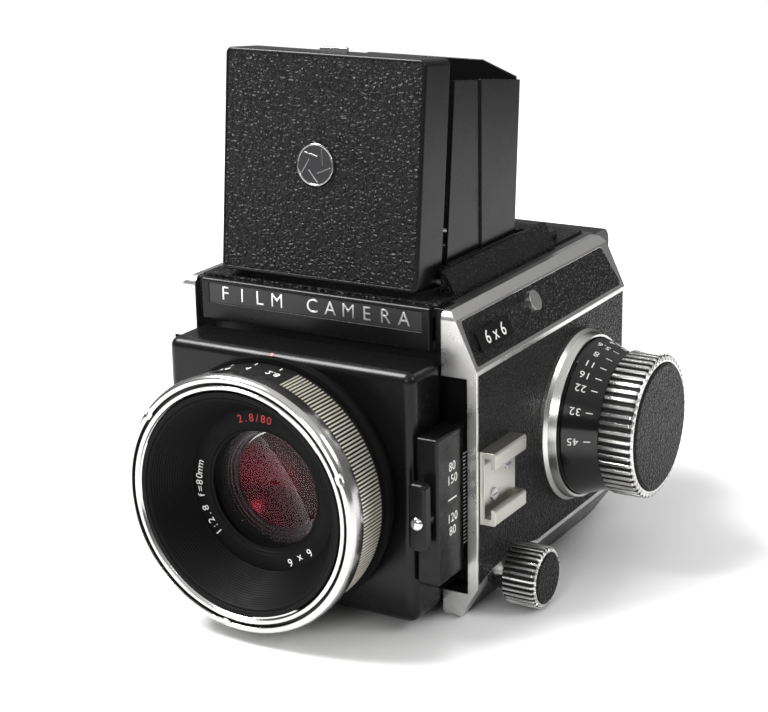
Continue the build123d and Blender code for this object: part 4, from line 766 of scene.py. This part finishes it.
# ------------------------------------------------------------------------------- front rings
def rounded(profile, radius, steps=3):
    """The closed outline with each corner replaced by a short curve: a quadratic curve from one point
    before the corner to one point after it, each at the radius or at 0.4 of the side."""
    profile = np.array(profile, float)
    before, after = np.roll(profile, 1, 0) - profile, np.roll(profile, -1, 0) - profile
    back, on = np.linalg.norm(before, axis=1), np.linalg.norm(after, axis=1)
    start = profile + before / back[:, None] * np.minimum(radius, 0.4 * back)[:, None]
    end = profile + after / on[:, None] * np.minimum(radius, 0.4 * on)[:, None]
    t = np.linspace(0, 1, steps + 1)[None, :, None]
    curve = (1 - t) ** 2 * start[:, None] + 2 * t * (1 - t) * profile[:, None] + t ** 2 * end[:, None]
    return curve.reshape(-1, 2)


def window(turn, centres, half):
    """One near the given turns and zero away from them, with ends 0.02 radians wide."""
    nearest = np.min([np.abs((turn - c + math.pi) % TURN - math.pi) for c in centres], axis=0)
    return np.clip((half - nearest) / 0.02 + 0.5, 0, 1)


class REFLEX_OT_bayonet(bpy.types.Operator):
    """The polished chrome ring at the front, with its steps, three notches and inner lugs."""

    bl_idname = "reflex.bayonet"
    bl_label = "Front bayonet"

    def execute(self, context):
        front, outer = RING_LOW.y, RING_HIGH.z - LENS_Z
        mouth = outer - 5.2 * MM
        steps = [(0.0, 5.9), (0.0, 1.7), (-0.35, 0.6), (-0.95, 0.0), (-2.3, 0.0), (-2.45, 1.5),
                 (-3.15, 1.5), (-3.3, 0.25), (-4.5, 0.25), (-4.8, 0.9), (-5.2, 1.2), (-5.2, 1.95),
                 (-4.1, 1.95), (-4.1, 5.9)]
        profile = rounded([(outer + r * MM, front + y * MM) for r, y in steps], 0.22 * MM)

        def cut(turn, profile, radius):
            """Notches in the front rim, and lugs that stand into the throat."""
            rim = (profile[:, 1] < front + 0.6 * MM) & (profile[:, 0] > outer - 2.6 * MM)
            lip = profile[:, 0] < mouth + 0.3 * MM
            notch = window(turn, [math.radians(a) for a in (-52, 68, 188)], 0.035)
            lug = window(turn, [math.radians(a) for a in (-80, 40, 160)], 0.24)
            return radius - 0.5 * MM * notch * rim[None, :] - 0.8 * MM * lug * lip[None, :]

        # the groove between the chrome steps gets painted shade, black in the colour
        material = stepped_chrome("stepped_chrome", [(outer - 3.25 * MM, outer - 2.36 * MM)], front,
                                  tone(context.scene.reflex_finish.chrome, 0.82))
        ring = turned("front_bayonet", profile, 384, "Y", (0, LENS_Z), material, cut)
        mount(ring, "standard", "chrome", "bayonet_ring")
        return {"FINISHED"}


class REFLEX_OT_aperture_ring(bpy.types.Operator):
    """The aperture ring: a smooth black part with numbers, and a finely knurled bright part."""

    bl_idname = "reflex.aperture_ring"
    bl_label = "Aperture ring"

    START, END = math.radians(17), math.radians(270)  # the knurled part, as turns from the top

    def execute(self, context):
        lens = context.scene.reflex_lens
        low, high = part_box("aperture_ring")
        outer = high.z - LENS_Z
        inner = outer - 2.4 * MM
        y0, y1 = low.y, high.y
        outline = [(inner, y1), (inner, y0), (outer - 1.0 * MM, y0), (outer - 0.9 * MM, y0 + 1.0 * MM),
                   (outer - 0.15 * MM, y0 + 1.5 * MM), (outer - 0.15 * MM, y1 - 2.2 * MM),
                   (outer - 0.7 * MM, y1 - 1.9 * MM), (outer - 0.7 * MM, y1)]
        outline = rounded(outline, 0.25 * MM, 2)
        depth, ridges = lens.knurl_depth, lens.knurl_count

        def knurl(turn, profile, radius):
            """In the bright part ridges stand 0.15 mm up, and a clipped cosine of the turn cuts the
            grooves between them."""
            raised = (profile[:, 0] > outer - 0.3 * MM)[None, :]
            sector = (turn > self.START) & (turn < self.END)
            wave = 0.5 + 0.5 * np.clip(1.8 * np.cos(ridges * turn), -1, 1)
            return radius + raised * sector * (0.15 * MM - depth * (1 - wave))

        ring = turned("aperture_ring_body", outline, ridges * 6, "Y", (0, LENS_Z), None, knurl)
        finish = Finish("aperture_ring_finish")
        edge = finish.use("edge_wear", Radius=0.12 * MM, Amount=0.0)
        distance, parts = finish.axis_distance(LENS_Z)
        turn = finish.maths("ARCTAN2", parts[0], finish.maths("SUBTRACT", parts[2], LENS_Z))
        turn = finish.maths("WRAP", turn, TURN)
        turn.node.inputs[2].default_value = 0.0
        inside = finish.maths("MULTIPLY", finish.maths("GREATER_THAN", turn, self.START),
                              finish.maths("LESS_THAN", turn, self.END))
        band = finish.maths("MULTIPLY", finish.maths("GREATER_THAN", parts[1], y0 + 1.2 * MM),
                            finish.maths("LESS_THAN", parts[1], y1 - 2.0 * MM))
        ridge = finish.between(distance, outer - 0.65 * depth, outer - 0.35 * depth)
        bright = finish.maths("MULTIPLY", finish.maths("MULTIPLY", inside, band), ridge)
        grains = finish.use("surface_grain", Grain=0.15 * MM)
        silver = finish.mix(grains["Smudge"], (0.80, 0.78, 0.68, 1), (0.70, 0.68, 0.59, 1))
        finish.feed(Base_Color=finish.mix(bright, (0.010, 0.010, 0.010, 1), silver),
                    Metallic=finish.maths("MULTIPLY", bright, 0.6),
                    Roughness=finish.between(grains["Grain"], 0.2, 0.8, 0.26, 0.38),
                    Normal=finish.bump(grains["Grain"], 0.005 * MM, edge["Normal"]))
        ring.data.materials.append(finish.material)
        mount(ring, "aperture_ring", "aluminium", "aperture_ring")

        stops = [("2.8", 9), ("4", -4), ("5.6", -17), ("8", -30), ("11", -43), ("16", -56), ("22", -69)]
        face = outer - 0.16 * MM
        rows = [(text, round_lens(math.radians(a), face, (y0 + y1) / 2 - 0.4 * MM), 1.0) for text, a in stops]
        numbers = lettering("aperture_numbers", rows, MATERIALS["white_enamel"], 2.5 * MM)
        mount(numbers, "aperture_ring", "aluminium")
        marks = [(round_lens(math.radians(a), face, y1 - 3.3 * MM), 0.3 * MM, 1.5 * MM) for _, a in stops]
        mount(ticks("aperture_ticks", marks, MATERIALS["white_enamel"]), "aperture_ring", "aluminium")
        return {"FINISHED"}


class REFLEX_OT_baffle(bpy.types.Operator):
    """The black ridged cone and the name ring inside the bayonet. The cone's radius falls evenly from the
    mouth to the name ring, less a saw of one tooth for each ridge."""

    bl_idname = "reflex.baffle"
    bl_label = "Baffle and name ring"

    def execute(self, context):
        count = context.scene.reflex_lens.thread_count
        low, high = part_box("front_baffle")
        name_low, name_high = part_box("name_ring")
        mouth, inner = high.z - LENS_Z, name_high.z - LENS_Z + 0.1 * MM
        y0, y1 = low.y, name_low.y - 0.4 * MM
        share = np.repeat(np.arange(count + 1) / count, 2)[1:-1]
        saw = np.tile([0.0, 1.0], count)
        wide = mouth - 2.2 * MM
        cone = np.c_[wide + (inner - wide) * share - 0.35 * MM * saw, y0 + 0.2 * MM + (y1 - y0) * share]
        head = [(mouth, y0 + 1.0 * MM), (mouth, y0), (mouth - 1.4 * MM, y0),
                (mouth - 1.6 * MM, y0 + 0.4 * MM)]
        tail = [(inner, high.y - 0.1 * MM), (inner + 0.8 * MM, high.y - 0.1 * MM),
                (mouth - 1.5 * MM, y0 + 1.1 * MM)]
        baffle = turned("ridged_baffle", np.vstack([head, cone, tail]), 192, "Y", (0, LENS_Z),
                        MATERIALS["matt_black"])
        mount(baffle, "standard", "black_anodised", "front_baffle")

        outer, bore = name_high.z - LENS_Z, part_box("front_element")[1].z - LENS_Z + 0.2 * MM
        front = name_low.y
        profile = [(outer, front), (outer, name_high.y), (bore, name_high.y), (bore, front + 1.2 * MM),
                   (bore + 0.7 * MM, front + 0.9 * MM), (bore + 1.1 * MM, front + 0.35 * MM),
                   (bore + 1.7 * MM, front + 0.30 * MM), (bore + 1.9 * MM, front)]
        ring = turned("name_ring_body", rounded(profile, 0.15 * MM), 192, "Y", (0, LENS_Z),
                      MATERIALS["matt_black"])
        mount(ring, "standard", "black_anodised", "name_ring")

        middle = (outer + bore) / 2 + 0.9 * MM

        def word(text, first):
            """Characters set one by one along the ring, 5.2 degrees apart, from a first turn in degrees."""
            return [(c, round_lens(math.radians(first + 5.2 * n), middle, front, True), 1.0)
                    for n, c in enumerate(text) if c != " "]

        white = word("1:2.8", 226) + word("f=80mm", 257) + word("6 x 6", 136)
        mount(lettering("name_ring_marks", white, MATERIALS["white_enamel"], 2.5 * MM, 0.06 * MM),
              "standard", "black_anodised")
        mount(lettering("name_ring_red", word("2.8/80", 342), MATERIALS["red_enamel"], 2.5 * MM, 0.06 * MM),
              "standard", "black_anodised")
        return {"FINISHED"}


class REFLEX_OT_inner_glass(bpy.types.Operator):
    """The dark glass behind the front one, and the stepped, blackened cell round it. The glass's hollow
    face comes forwards with the square of the distance from the axis."""

    bl_idname = "reflex.inner_glass"
    bl_label = "Inner glass"

    def execute(self, context):
        front_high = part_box("front_element")[1]
        radius = front_high.z - LENS_Z
        share = np.linspace(0, 1, 13)
        face = np.c_[(radius - 3.2 * MM) * share, front_high.y + 8.5 * MM - 5.0 * MM * share ** 2]
        back = face[::-1] + (0, 1.6 * MM)
        glass = turned("second_glass", np.vstack([face, back]), 128, "Y", (0, LENS_Z),
                       MATERIALS["deep_glass"])
        merge_points(glass)
        mount(glass, "standard", "glass")
        steps = [(0.1, 0.2), (-1.2, 0.6), (-1.2, 1.4), (-1.8, 1.6), (-1.8, 2.6), (-2.6, 2.9), (-2.6, 4.4),
                 (-3.4, 4.8), (-3.4, 6.6), (-4.4, 7.0), (-5.6, 7.4), (-5.6, 9.6), (0.1, 9.6)]
        profile = [(radius + r * MM, front_high.y + y * MM) for r, y in steps]
        cell = turned("glass_cell", rounded(profile, 0.15 * MM, 2), 160, "Y", (0, LENS_Z),
                      MATERIALS["black_anodised"])
        mount(cell, "standard", "black_anodised")
        return {"FINISHED"}


# ------------------------------------------------------------------------------- knobs
def ribbed_knob(name, x0, high, centre, ribs, depth, rim, material):
    """A knob's grip: a rounded drum whose radius drops between its ribs. The groove is a clipped cosine
    of the turn, so rib tops and groove floors are flat."""
    outer = high.z - centre[1]
    x1 = high.x
    points = [(0.3 * outer, x0), (outer - 1.2 * MM, x0), (outer, x0 + 0.8 * MM), (outer, x1 - 1.1 * MM),
              (outer - 0.7 * MM, x1 - 0.15 * MM), (outer - rim + 0.3 * MM, x1), (outer - rim, x1 - 0.2 * MM),
              (outer - rim - 0.05 * MM, x1 - 0.6 * MM), (0.3 * outer, x1 - 0.6 * MM)]
    profile = rounded(points, 0.25 * MM, 2)

    def groove(turn, profile, radius):
        """Full depth on the outside, and none from 1.6 mm inside it."""
        deep = np.clip((profile[:, 0] - (outer - 1.6 * MM)) / (0.8 * MM), 0, 1)[None, :]
        wave = 0.5 - 0.5 * np.clip(2.8 * np.cos(ribs * turn) + 0.2, -1, 1)
        return radius - depth * wave * deep

    return turned(name, profile, ribs * 12, "X", centre, material, groove)


class REFLEX_OT_focus_knob(bpy.types.Operator):
    """The ribbed grips of the focus and lock knobs, and the scale on the focus drum."""

    bl_idname = "reflex.focus_knob"
    bl_label = "Focus and lock knobs"

    def execute(self, context):
        look, knobs = context.scene.reflex_finish, context.scene.reflex_knobs
        depth = knobs.rib_depth
        outer = GRIP_HIGH.z - KNOB_Z
        material = ribbed_metal("focus_ribs", KNOB_Y, KNOB_Z, outer, depth, GRIP_HIGH.x, look.chrome)
        grip = ribbed_knob("focus_grip", GRIP_LOW.x, GRIP_HIGH, (KNOB_Y, KNOB_Z), knobs.focus_ribs, depth,
                           2.6 * MM, material)
        mount(grip, "focus_knob", "black_anodised", "knob_grip")

        outer = LOCK_HIGH.z - LOCK_Z
        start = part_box("lock_knob_leather")[1].x - 12.0 * MM
        material = ribbed_metal("lock_ribs", LOCK_Y, LOCK_Z, outer, depth, LOCK_HIGH.x, look.chrome)
        grip = ribbed_knob("lock_grip", start, LOCK_HIGH, (LOCK_Y, LOCK_Z), knobs.lock_ribs, depth,
                           1.8 * MM, material)
        mount(grip, "lock_knob", "black_anodised", "lock_knob")
        outline = [(0.1 * MM, start + 2 * MM), (3.0 * MM, start + 2 * MM), (3.0 * MM, LOCK_LOW.x),
                   (0.1 * MM, LOCK_LOW.x)]
        shaft = turned("lock_shaft", rounded(outline, 0.2 * MM), 48, "X", (LOCK_Y, LOCK_Z),
                       MATERIALS["steel"])
        mount(shaft, "lock_knob", "steel")

        low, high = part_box("focus_drum")
        wide = high.z - KNOB_Z
        cone_x0, cone_x1 = high.x - 10.8 * MM, high.x
        narrow = wide - 4.0 * MM

        def radius_at(x):
            """The drum's radius, which narrows evenly along its cone."""
            return wide + (narrow - wide) * np.clip((x - cone_x0) / (cone_x1 - cone_x0), 0, 1)

        scale = [("45", -1), ("32", 22), ("22", 40), ("16", 51), ("11", 62), ("8", 74), ("5.6", 88),
                 ("4", 104), ("2.8", 122)]
        rows = [(text, round_knob(math.radians(a), radius_at, cone_x0 + 3.4 * MM, (KNOB_Y, KNOB_Z)), 1.0)
                for text, a in scale]
        mount(lettering("focus_numbers", rows, MATERIALS["white_enamel"], 2.5 * MM), "focus_knob",
              "black_anodised")
        marks = [(round_knob(math.radians(a), radius_at, cone_x0 + 7.6 * MM, (KNOB_Y, KNOB_Z)), 2.0 * MM,
                  0.3 * MM) for _, a in scale]
        mount(ticks("focus_ticks", marks, MATERIALS["white_enamel"]), "focus_knob", "black_anodised")
        return {"FINISHED"}


# ------------------------------------------------------------------------------- bellows
class REFLEX_OT_bellows(bpy.types.Operator):
    """The pleated bellows between the body and the carriage. Its section is |x|^7 + |z|^7 = reach^7, a
    square with round corners. The reach drops by depth * (0.5 - 0.5 cos(2 pi pleats share))^0.8, where
    the share is how far along the bellows a point lies."""

    bl_idname = "reflex.bellows"
    bl_label = "Bellows"

    def execute(self, context):
        fold = context.scene.reflex_bellows
        low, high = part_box("bellows")
        half = (high.x - low.x) / 2
        rows = fold.pleats * 8 + 1
        share = np.linspace(0, 1, rows)
        y = low.y + 0.2 * MM + (high.y - low.y - 0.4 * MM) * share
        dip = fold.pleat_depth * (0.5 - 0.5 * np.cos(fold.pleats * TURN * share)) ** 0.8
        turn = (np.arange(160) + 0.5) * TURN / 160
        power = 7.0
        square = (np.abs(np.cos(turn)) ** power + np.abs(np.sin(turn)) ** power) ** (-1 / power)
        walls = []
        for thickness in (0.0, 0.5 * MM):
            reach = (half - 0.1 * MM - thickness - dip)[:, None]
            x, z = reach * square * np.sin(turn), reach * square * np.cos(turn)
            walls.append(np.stack([x, np.broadcast_to(y[:, None], x.shape), LENS_Z + z], -1))
        points = np.concatenate([walls[0], walls[1][::-1]])
        cloth = surface("pleated_bellows", points, grid_faces(len(points), 160, True, True),
                        MATERIALS["cloth"], 60)
        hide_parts("bellows")
        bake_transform(cloth)
        return {"FINISHED"}


# ------------------------------------------------------------------------------- plates and marks
class REFLEX_OT_nameplate(bpy.types.Operator):
    """Bright letters on the plate over the lens, and numbers on the side badge."""

    bl_idname = "reflex.nameplate"
    bl_label = "Nameplate and badge"

    def execute(self, context):
        low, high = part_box("nameplate")
        middle, front = (low.z + high.z) / 2, low.y
        text, margin = "FILM CAMERA", 6 * MM
        step = (high.x - low.x - 2 * margin) / (len(text) - 1)
        rows = [(c, on_plane((low.x + margin + step * n, front, middle), (1, 0, 0), (0, 0, 1)), 1.0)
                for n, c in enumerate(text) if c != " "]
        mount(lettering("plate_letters", rows, MATERIALS["satin_chrome"], 4.5 * MM, 0.09 * MM), "body",
              "grey_plate")

        low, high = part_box("side_badge")
        lean = math.atan2(6.9, 14.7)  # the shoulder runs in 6.9 mm over a rise of 14.7 mm
        up = (-math.sin(lean), 0, math.cos(lean))
        out = np.array((math.cos(lean), 0, math.sin(lean)))
        place = on_plane(box_middle(low, high) + out * 0.39 * MM, (0, 1, 0), up)
        mount(lettering("badge_number", [("6 x 6", place, 1.0)], MATERIALS["white_enamel"], 4.3 * MM,
                        0.1 * MM), "body", "grey_plate")
        return {"FINISHED"}


class REFLEX_OT_emblem(bpy.types.Operator):
    """The lid's round badge, a bright rim and a five-bladed iris in relief, and the lid's finger tab."""

    bl_idname = "reflex.emblem"
    bl_label = "Lid emblem"

    def execute(self, context):
        low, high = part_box("lid_emblem")
        centre = box_middle(low, high)
        lid_lean = math.radians(6)
        across = np.array((1, 0, 0))
        up = np.array((0, math.sin(lid_lean), math.cos(lid_lean)))
        out = np.array((0, -math.cos(lid_lean), math.sin(lid_lean)))
        radius = (high.x - low.x) / 2
        base = centre + out * 0.28 * MM
        turn = np.arange(96) * TURN / 96
        section = rounded([(radius, -0.3 * MM), (radius, 0.10 * MM), (radius - 0.55 * MM, 0.10 * MM),
                           (radius - 0.6 * MM, -0.3 * MM)], 0.1 * MM, 2)
        reach, rise = section[None, :, 0], section[None, :, 1]
        ring = np.stack([reach * np.sin(turn)[:, None], reach * np.cos(turn)[:, None],
                         np.broadcast_to(rise, (96, len(section)))], -1)
        flat = on_plane(base, across, up)
        rim = surface("emblem_rim", flat(ring.reshape(-1, 3)), grid_faces(96, len(section), True, True),
                      MATERIALS["bright_chrome"])
        mount(rim, "lid", "grey_plate")
        blades = []
        inner, outer = 0.42 * radius, 0.84 * radius
        for n in range(5):
            angle = n * TURN / 5
            start = np.array((math.cos(angle), math.sin(angle))) * inner
            end = np.array((math.cos(angle + 1.15), math.sin(angle + 1.15))) * outer
            along = (end - start) / np.linalg.norm(end - start)
            middle = (start + end) / 2
            reading, cross = across * along[0] + up * along[1], up * along[0] - across * along[1]
            place = on_plane(base + across * middle[0] + up * middle[1], reading, cross)
            blades.append((place, float(np.linalg.norm(end - start)), 0.42 * MM))
        mount(ticks("emblem_blades", blades, MATERIALS["bright_chrome"], 0.09 * MM), "lid", "grey_plate")

        spot = centre + across * 2.4 * MM + up * 33.7 * MM - out * 5.3 * MM
        tab = ticks("lid_tab", [(on_plane(spot, across, up), 9.5 * MM, 2.2 * MM)],
                    MATERIALS["bright_chrome"], 1.08 * MM)
        mount(tab, "lid", "chrome")
        return {"FINISHED"}


class REFLEX_OT_scales(bpy.types.Operator):
    """The white tilt scale on the bracket, the ladder beside it, the lever's screw and the index dot."""

    bl_idname = "reflex.scales"
    bl_label = "Scales and index"

    def execute(self, context):
        low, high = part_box("scale_bracket")
        face = high.x
        y = low.y + 8.9 * MM
        rows = [(text, on_plane((face, y, LENS_Z + dz * MM), (0, 1, 0), (0, 0, 1)), 1.0)
                for text, dz in (("80", 8.8), ("150", 4.8), ("120", -7.3), ("80", -11.4))]
        white = MATERIALS["white_enamel"]
        mount(lettering("bracket_numbers", rows, white, 2.9 * MM, 0.05 * MM), "carriage", "black_paint")
        place = on_plane((face, y, LENS_Z - 1.2 * MM), (0, 1, 0), (0, 0, 1))
        mount(ticks("bracket_line", [(place, 5.2 * MM, 0.45 * MM)], white, 0.05 * MM), "carriage",
              "black_paint")
        yoke_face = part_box("carriage_yoke")[1].x
        steps = 24
        rungs = []
        for n in range(steps + 1):
            long = 2.6 * MM if n % 4 == 0 else 1.7 * MM
            z = LENS_Z - 18 * MM + 28.5 * MM * n / steps
            place = on_plane((yoke_face, high.y + 0.25 * MM + long / 2, z), (0, 1, 0), (0, 0, 1))
            rungs.append((place, long, 0.28 * MM))
        mount(ticks("tilt_ladder", rungs, white, 0.05 * MM), "carriage", "black_anodised")

        low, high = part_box("tilt_lever")
        x, z = (low.x + high.x) / 2, low.z + 9.0 * MM
        dome, head = np.linspace(0, math.pi / 2, 8), 2.1 * MM
        profile = np.vstack([np.c_[head * np.sin(dome), low.y + 0.3 * MM - 1.1 * MM * np.cos(dome)],
                             [(head, low.y + 1.0 * MM), (0, low.y + 1.0 * MM)]])
        screw = turned("lever_screw", profile, 48, "Y", (x, z), MATERIALS["bright_chrome"])
        merge_points(screw)
        mount(screw, "tilt_lever", "chrome")

        low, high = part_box("front_standard")
        slope, inset = math.sqrt(0.5), 0.88 * MM  # halfway round an edge of 3 mm radius
        spot = np.array((-5.4 * MM, low.y + inset, high.z - inset))
        turn = np.arange(32) * TURN / 32
        disc = np.array([0.7, 0.7, 0.45, 0.0])[:, None, None] * MM
        lift = np.array([-0.1, 0.06, 0.10, 0.11]) * MM
        points = np.concatenate([disc * np.stack([np.sin(turn), np.cos(turn)], -1)[None],
                                 np.broadcast_to(lift[:, None, None], (4, 32, 1))], -1)
        place = on_plane(spot, (1, 0, 0), (0, slope, slope))
        dot = surface("index_dot", place(points.reshape(-1, 3)), grid_faces(4, 32, False, True),
                      MATERIALS["red_enamel"])
        merge_points(dot)
        mount(dot, "standard", "black_paint")
        return {"FINISHED"}


class REFLEX_OT_winding_side(bpy.types.Operator):
    """The knurled speed dial with its numbers, on the winding side."""

    bl_idname = "reflex.winding_side"
    bl_label = "Winding side"

    def execute(self, context):
        low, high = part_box("speed_dial")
        outer = (high.z - low.z) / 2
        x0, x1 = high.x, low.x
        points = [(outer - 11 * MM, x0), (outer - 0.6 * MM, x0), (outer, x0 - 0.6 * MM),
                  (outer, x1 + 1.4 * MM), (outer - 0.9 * MM, x1 + 0.5 * MM),
                  (outer - 1.8 * MM, x1 + 0.3 * MM), (outer - 8.0 * MM, x1), (outer - 11 * MM, x1 + 0.2 * MM)]
        ribs = 90

        def knurl(turn, profile, radius):
            """A clipped cosine of the turn, round the rim only."""
            deep = (profile[:, 0] > outer - 0.3 * MM)[None, :]
            return radius - deep * 0.35 * MM * (0.5 - 0.5 * np.clip(1.6 * np.cos(ribs * turn), -1, 1))

        dial = turned("speed_dial_body", rounded(points, 0.3 * MM, 2), ribs * 8, "X", (KNOB_Y, KNOB_Z),
                      MATERIALS["black_anodised"], knurl)
        mount(dial, "speed_dial", "black_anodised", "speed_dial")
        speeds = ["1000", "500", "250", "125", "60", "30", "15", "8", "4", "2", "1", "B"]
        rows = []
        reach = outer - 4.6 * MM
        for n, text in enumerate(speeds):
            turn = n * TURN / len(speeds)
            up = (0, math.sin(turn), math.cos(turn))
            reading = (0, -math.cos(turn), math.sin(turn))
            spot = (x1 + 0.16 * MM, KNOB_Y + reach * up[1], KNOB_Z + reach * up[2])
            rows.append((text, on_plane(spot, reading, up), 0.85 if len(text) == 4 else 1.0))
        mount(lettering("speed_numbers", rows, MATERIALS["white_enamel"], 2.2 * MM, 0.08 * MM), "speed_dial",
              "black_anodised")
        return {"FINISHED"}


# ------------------------------------------------------------------------------- stage
class REFLEX_OT_stage(bpy.types.Operator):
    """A plain pale floor, soft light from the upper left, and the camera."""

    bl_idname = "reflex.stage"
    bl_label = "Floor, light and camera"

    FLOOR_HALF = 0.72
    CAMERA_PLACE = (303.44 * MM, -523.68 * MM, 252.05 * MM)
    AZIMUTH, ELEVATION, ROLL = 30.39, 17.23, -1.04  # of the camera, in degrees

    def soft_box(self, name, place, aim, size, power):
        """A square area light that faces the aim point."""
        light = bpy.data.lights.new(name, "AREA")
        light.shape, light.size, light.energy = "SQUARE", size, power
        lamp = bpy.data.objects.new(name, light)
        lamp.location = place
        lamp.rotation_euler = (Vector(aim) - Vector(place)).to_track_quat("-Z", "Y").to_euler()
        bpy.context.scene.collection.objects.link(lamp)

    def execute(self, context):
        scene, stage = context.scene, context.scene.reflex_stage
        half = self.FLOOR_HALF
        points = [(-half, -half, 0), (half, -half, 0), (half, half, 0), (-half, half, 0)]
        finish = Finish("pale_floor", Roughness=0.6, Specular_IOR_Level=0.2)
        speck = finish.noise(finish.place(), 60.0)
        finish.feed(Base_Color=finish.mix(speck, tuple(stage.floor), tone(stage.floor, 0.985)))
        floor = surface("floor", points, [(0, 1, 2, 3)], finish.material)
        if floor.data.polygons[0].normal.z < 0:
            floor.data.flip_normals()
        floor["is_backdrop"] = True

        world = bpy.data.worlds.new("surround")
        world.use_nodes = True
        sky = Wiring(world.node_tree)
        backing = world.node_tree.nodes["Background"]
        backing.inputs["Color"].default_value = (1, 1, 1, 1)
        direction = sky.add("ShaderNodeTexCoord").outputs["Generated"]
        height = sky.add("ShaderNodeSeparateXYZ", {0: direction}).outputs[2]
        glow = sky.between(height, 0.15, 1.0, stage.horizon, stage.sky)
        seen = sky.add("ShaderNodeLightPath").outputs["Is Camera Ray"]
        strength = sky.add("ShaderNodeMix", {0: seen, 2: glow, 3: 1.05}, data_type="FLOAT").outputs[0]
        world.node_tree.links.new(strength, backing.inputs["Strength"])
        scene.world = world
        self.soft_box("key", (-0.55, -0.35, 1.05), (0, 0, 0.08), 0.55, stage.key)
        self.soft_box("side", (0.95, 0.15, 0.75), (0.02, 0, 0.06), 0.35, stage.key * 0.12)
        self.soft_box("front", (0.25, -1.15, 0.55), (0, -0.05, 0.06), 0.30, stage.key * 0.12)

        azimuth, elevation, roll = map(math.radians, (self.AZIMUTH, self.ELEVATION, self.ROLL))
        forward = Vector((-math.sin(azimuth) * math.cos(elevation), math.cos(azimuth) * math.cos(elevation),
                          -math.sin(elevation)))
        level = Vector((math.cos(azimuth), math.sin(azimuth), 0))
        rise = level.cross(forward)
        right = math.cos(roll) * level + math.sin(roll) * rise
        up = -math.sin(roll) * level + math.cos(roll) * rise
        view = bpy.data.cameras.new("view")
        view.sensor_width, view.lens = 36.0, stage.focal_length
        view.clip_start, view.clip_end = 0.01, 50
        camera = bpy.data.objects.new("view", view)
        turn = Matrix((right, up, -forward)).transposed().to_4x4()
        camera.matrix_world = Matrix.Translation(self.CAMERA_PLACE) @ turn
        scene.collection.objects.link(camera)
        scene.camera = camera
        scene.view_settings.view_transform = "Standard"
        scene.view_settings.gamma = 0.92
        return {"FINISHED"}


# ------------------------------------------------------------------------------- panel
STEPS = (REFLEX_OT_finishes, REFLEX_OT_bayonet, REFLEX_OT_aperture_ring, REFLEX_OT_baffle,
         REFLEX_OT_inner_glass, REFLEX_OT_focus_knob, REFLEX_OT_bellows, REFLEX_OT_nameplate,
         REFLEX_OT_emblem, REFLEX_OT_scales, REFLEX_OT_winding_side, REFLEX_OT_stage)
SETTINGS = {"reflex_finish": FinishSettings, "reflex_lens": LensSettings, "reflex_knobs": KnobSettings,
            "reflex_bellows": BellowsSettings, "reflex_stage": StageSettings}


class REFLEX_PT_panel(bpy.types.Panel):
    """The steps that build the camera's looks, and their settings."""

    bl_label = "Reflex camera"
    bl_idname = "REFLEX_PT_panel"
    bl_space_type = "VIEW_3D"
    bl_region_type = "UI"
    bl_category = "Reflex"

    def draw(self, context):
        for step in STEPS:
            self.layout.operator(step.bl_idname)
        for name, group in SETTINGS.items():
            box = self.layout.box()
            for key in group.__annotations__:
                box.prop(getattr(context.scene, name), key)


CLASSES = (*SETTINGS.values(), *STEPS, REFLEX_PT_panel)


def register():
    for item in CLASSES:
        bpy.utils.register_class(item)
    for name, group in SETTINGS.items():
        setattr(bpy.types.Scene, name, bpy.props.PointerProperty(type=group))


def unregister():
    for name in SETTINGS:
        delattr(bpy.types.Scene, name)
    for item in reversed(CLASSES):
        bpy.utils.unregister_class(item)


def main():
    """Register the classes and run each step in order."""
    register()
    for step in STEPS:
        operator = getattr(bpy.ops.reflex, step.bl_idname.split(".")[1])
        if operator() != {"FINISHED"}:
            raise RuntimeError(f"{step.bl_label} did not finish")
    boxes = {"cad": CAD_BOX, "visual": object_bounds()}
    {name: [list(map(float, corner)) for corner in box] for name, box in boxes.items()}


if __name__ == "__main__":
    main()
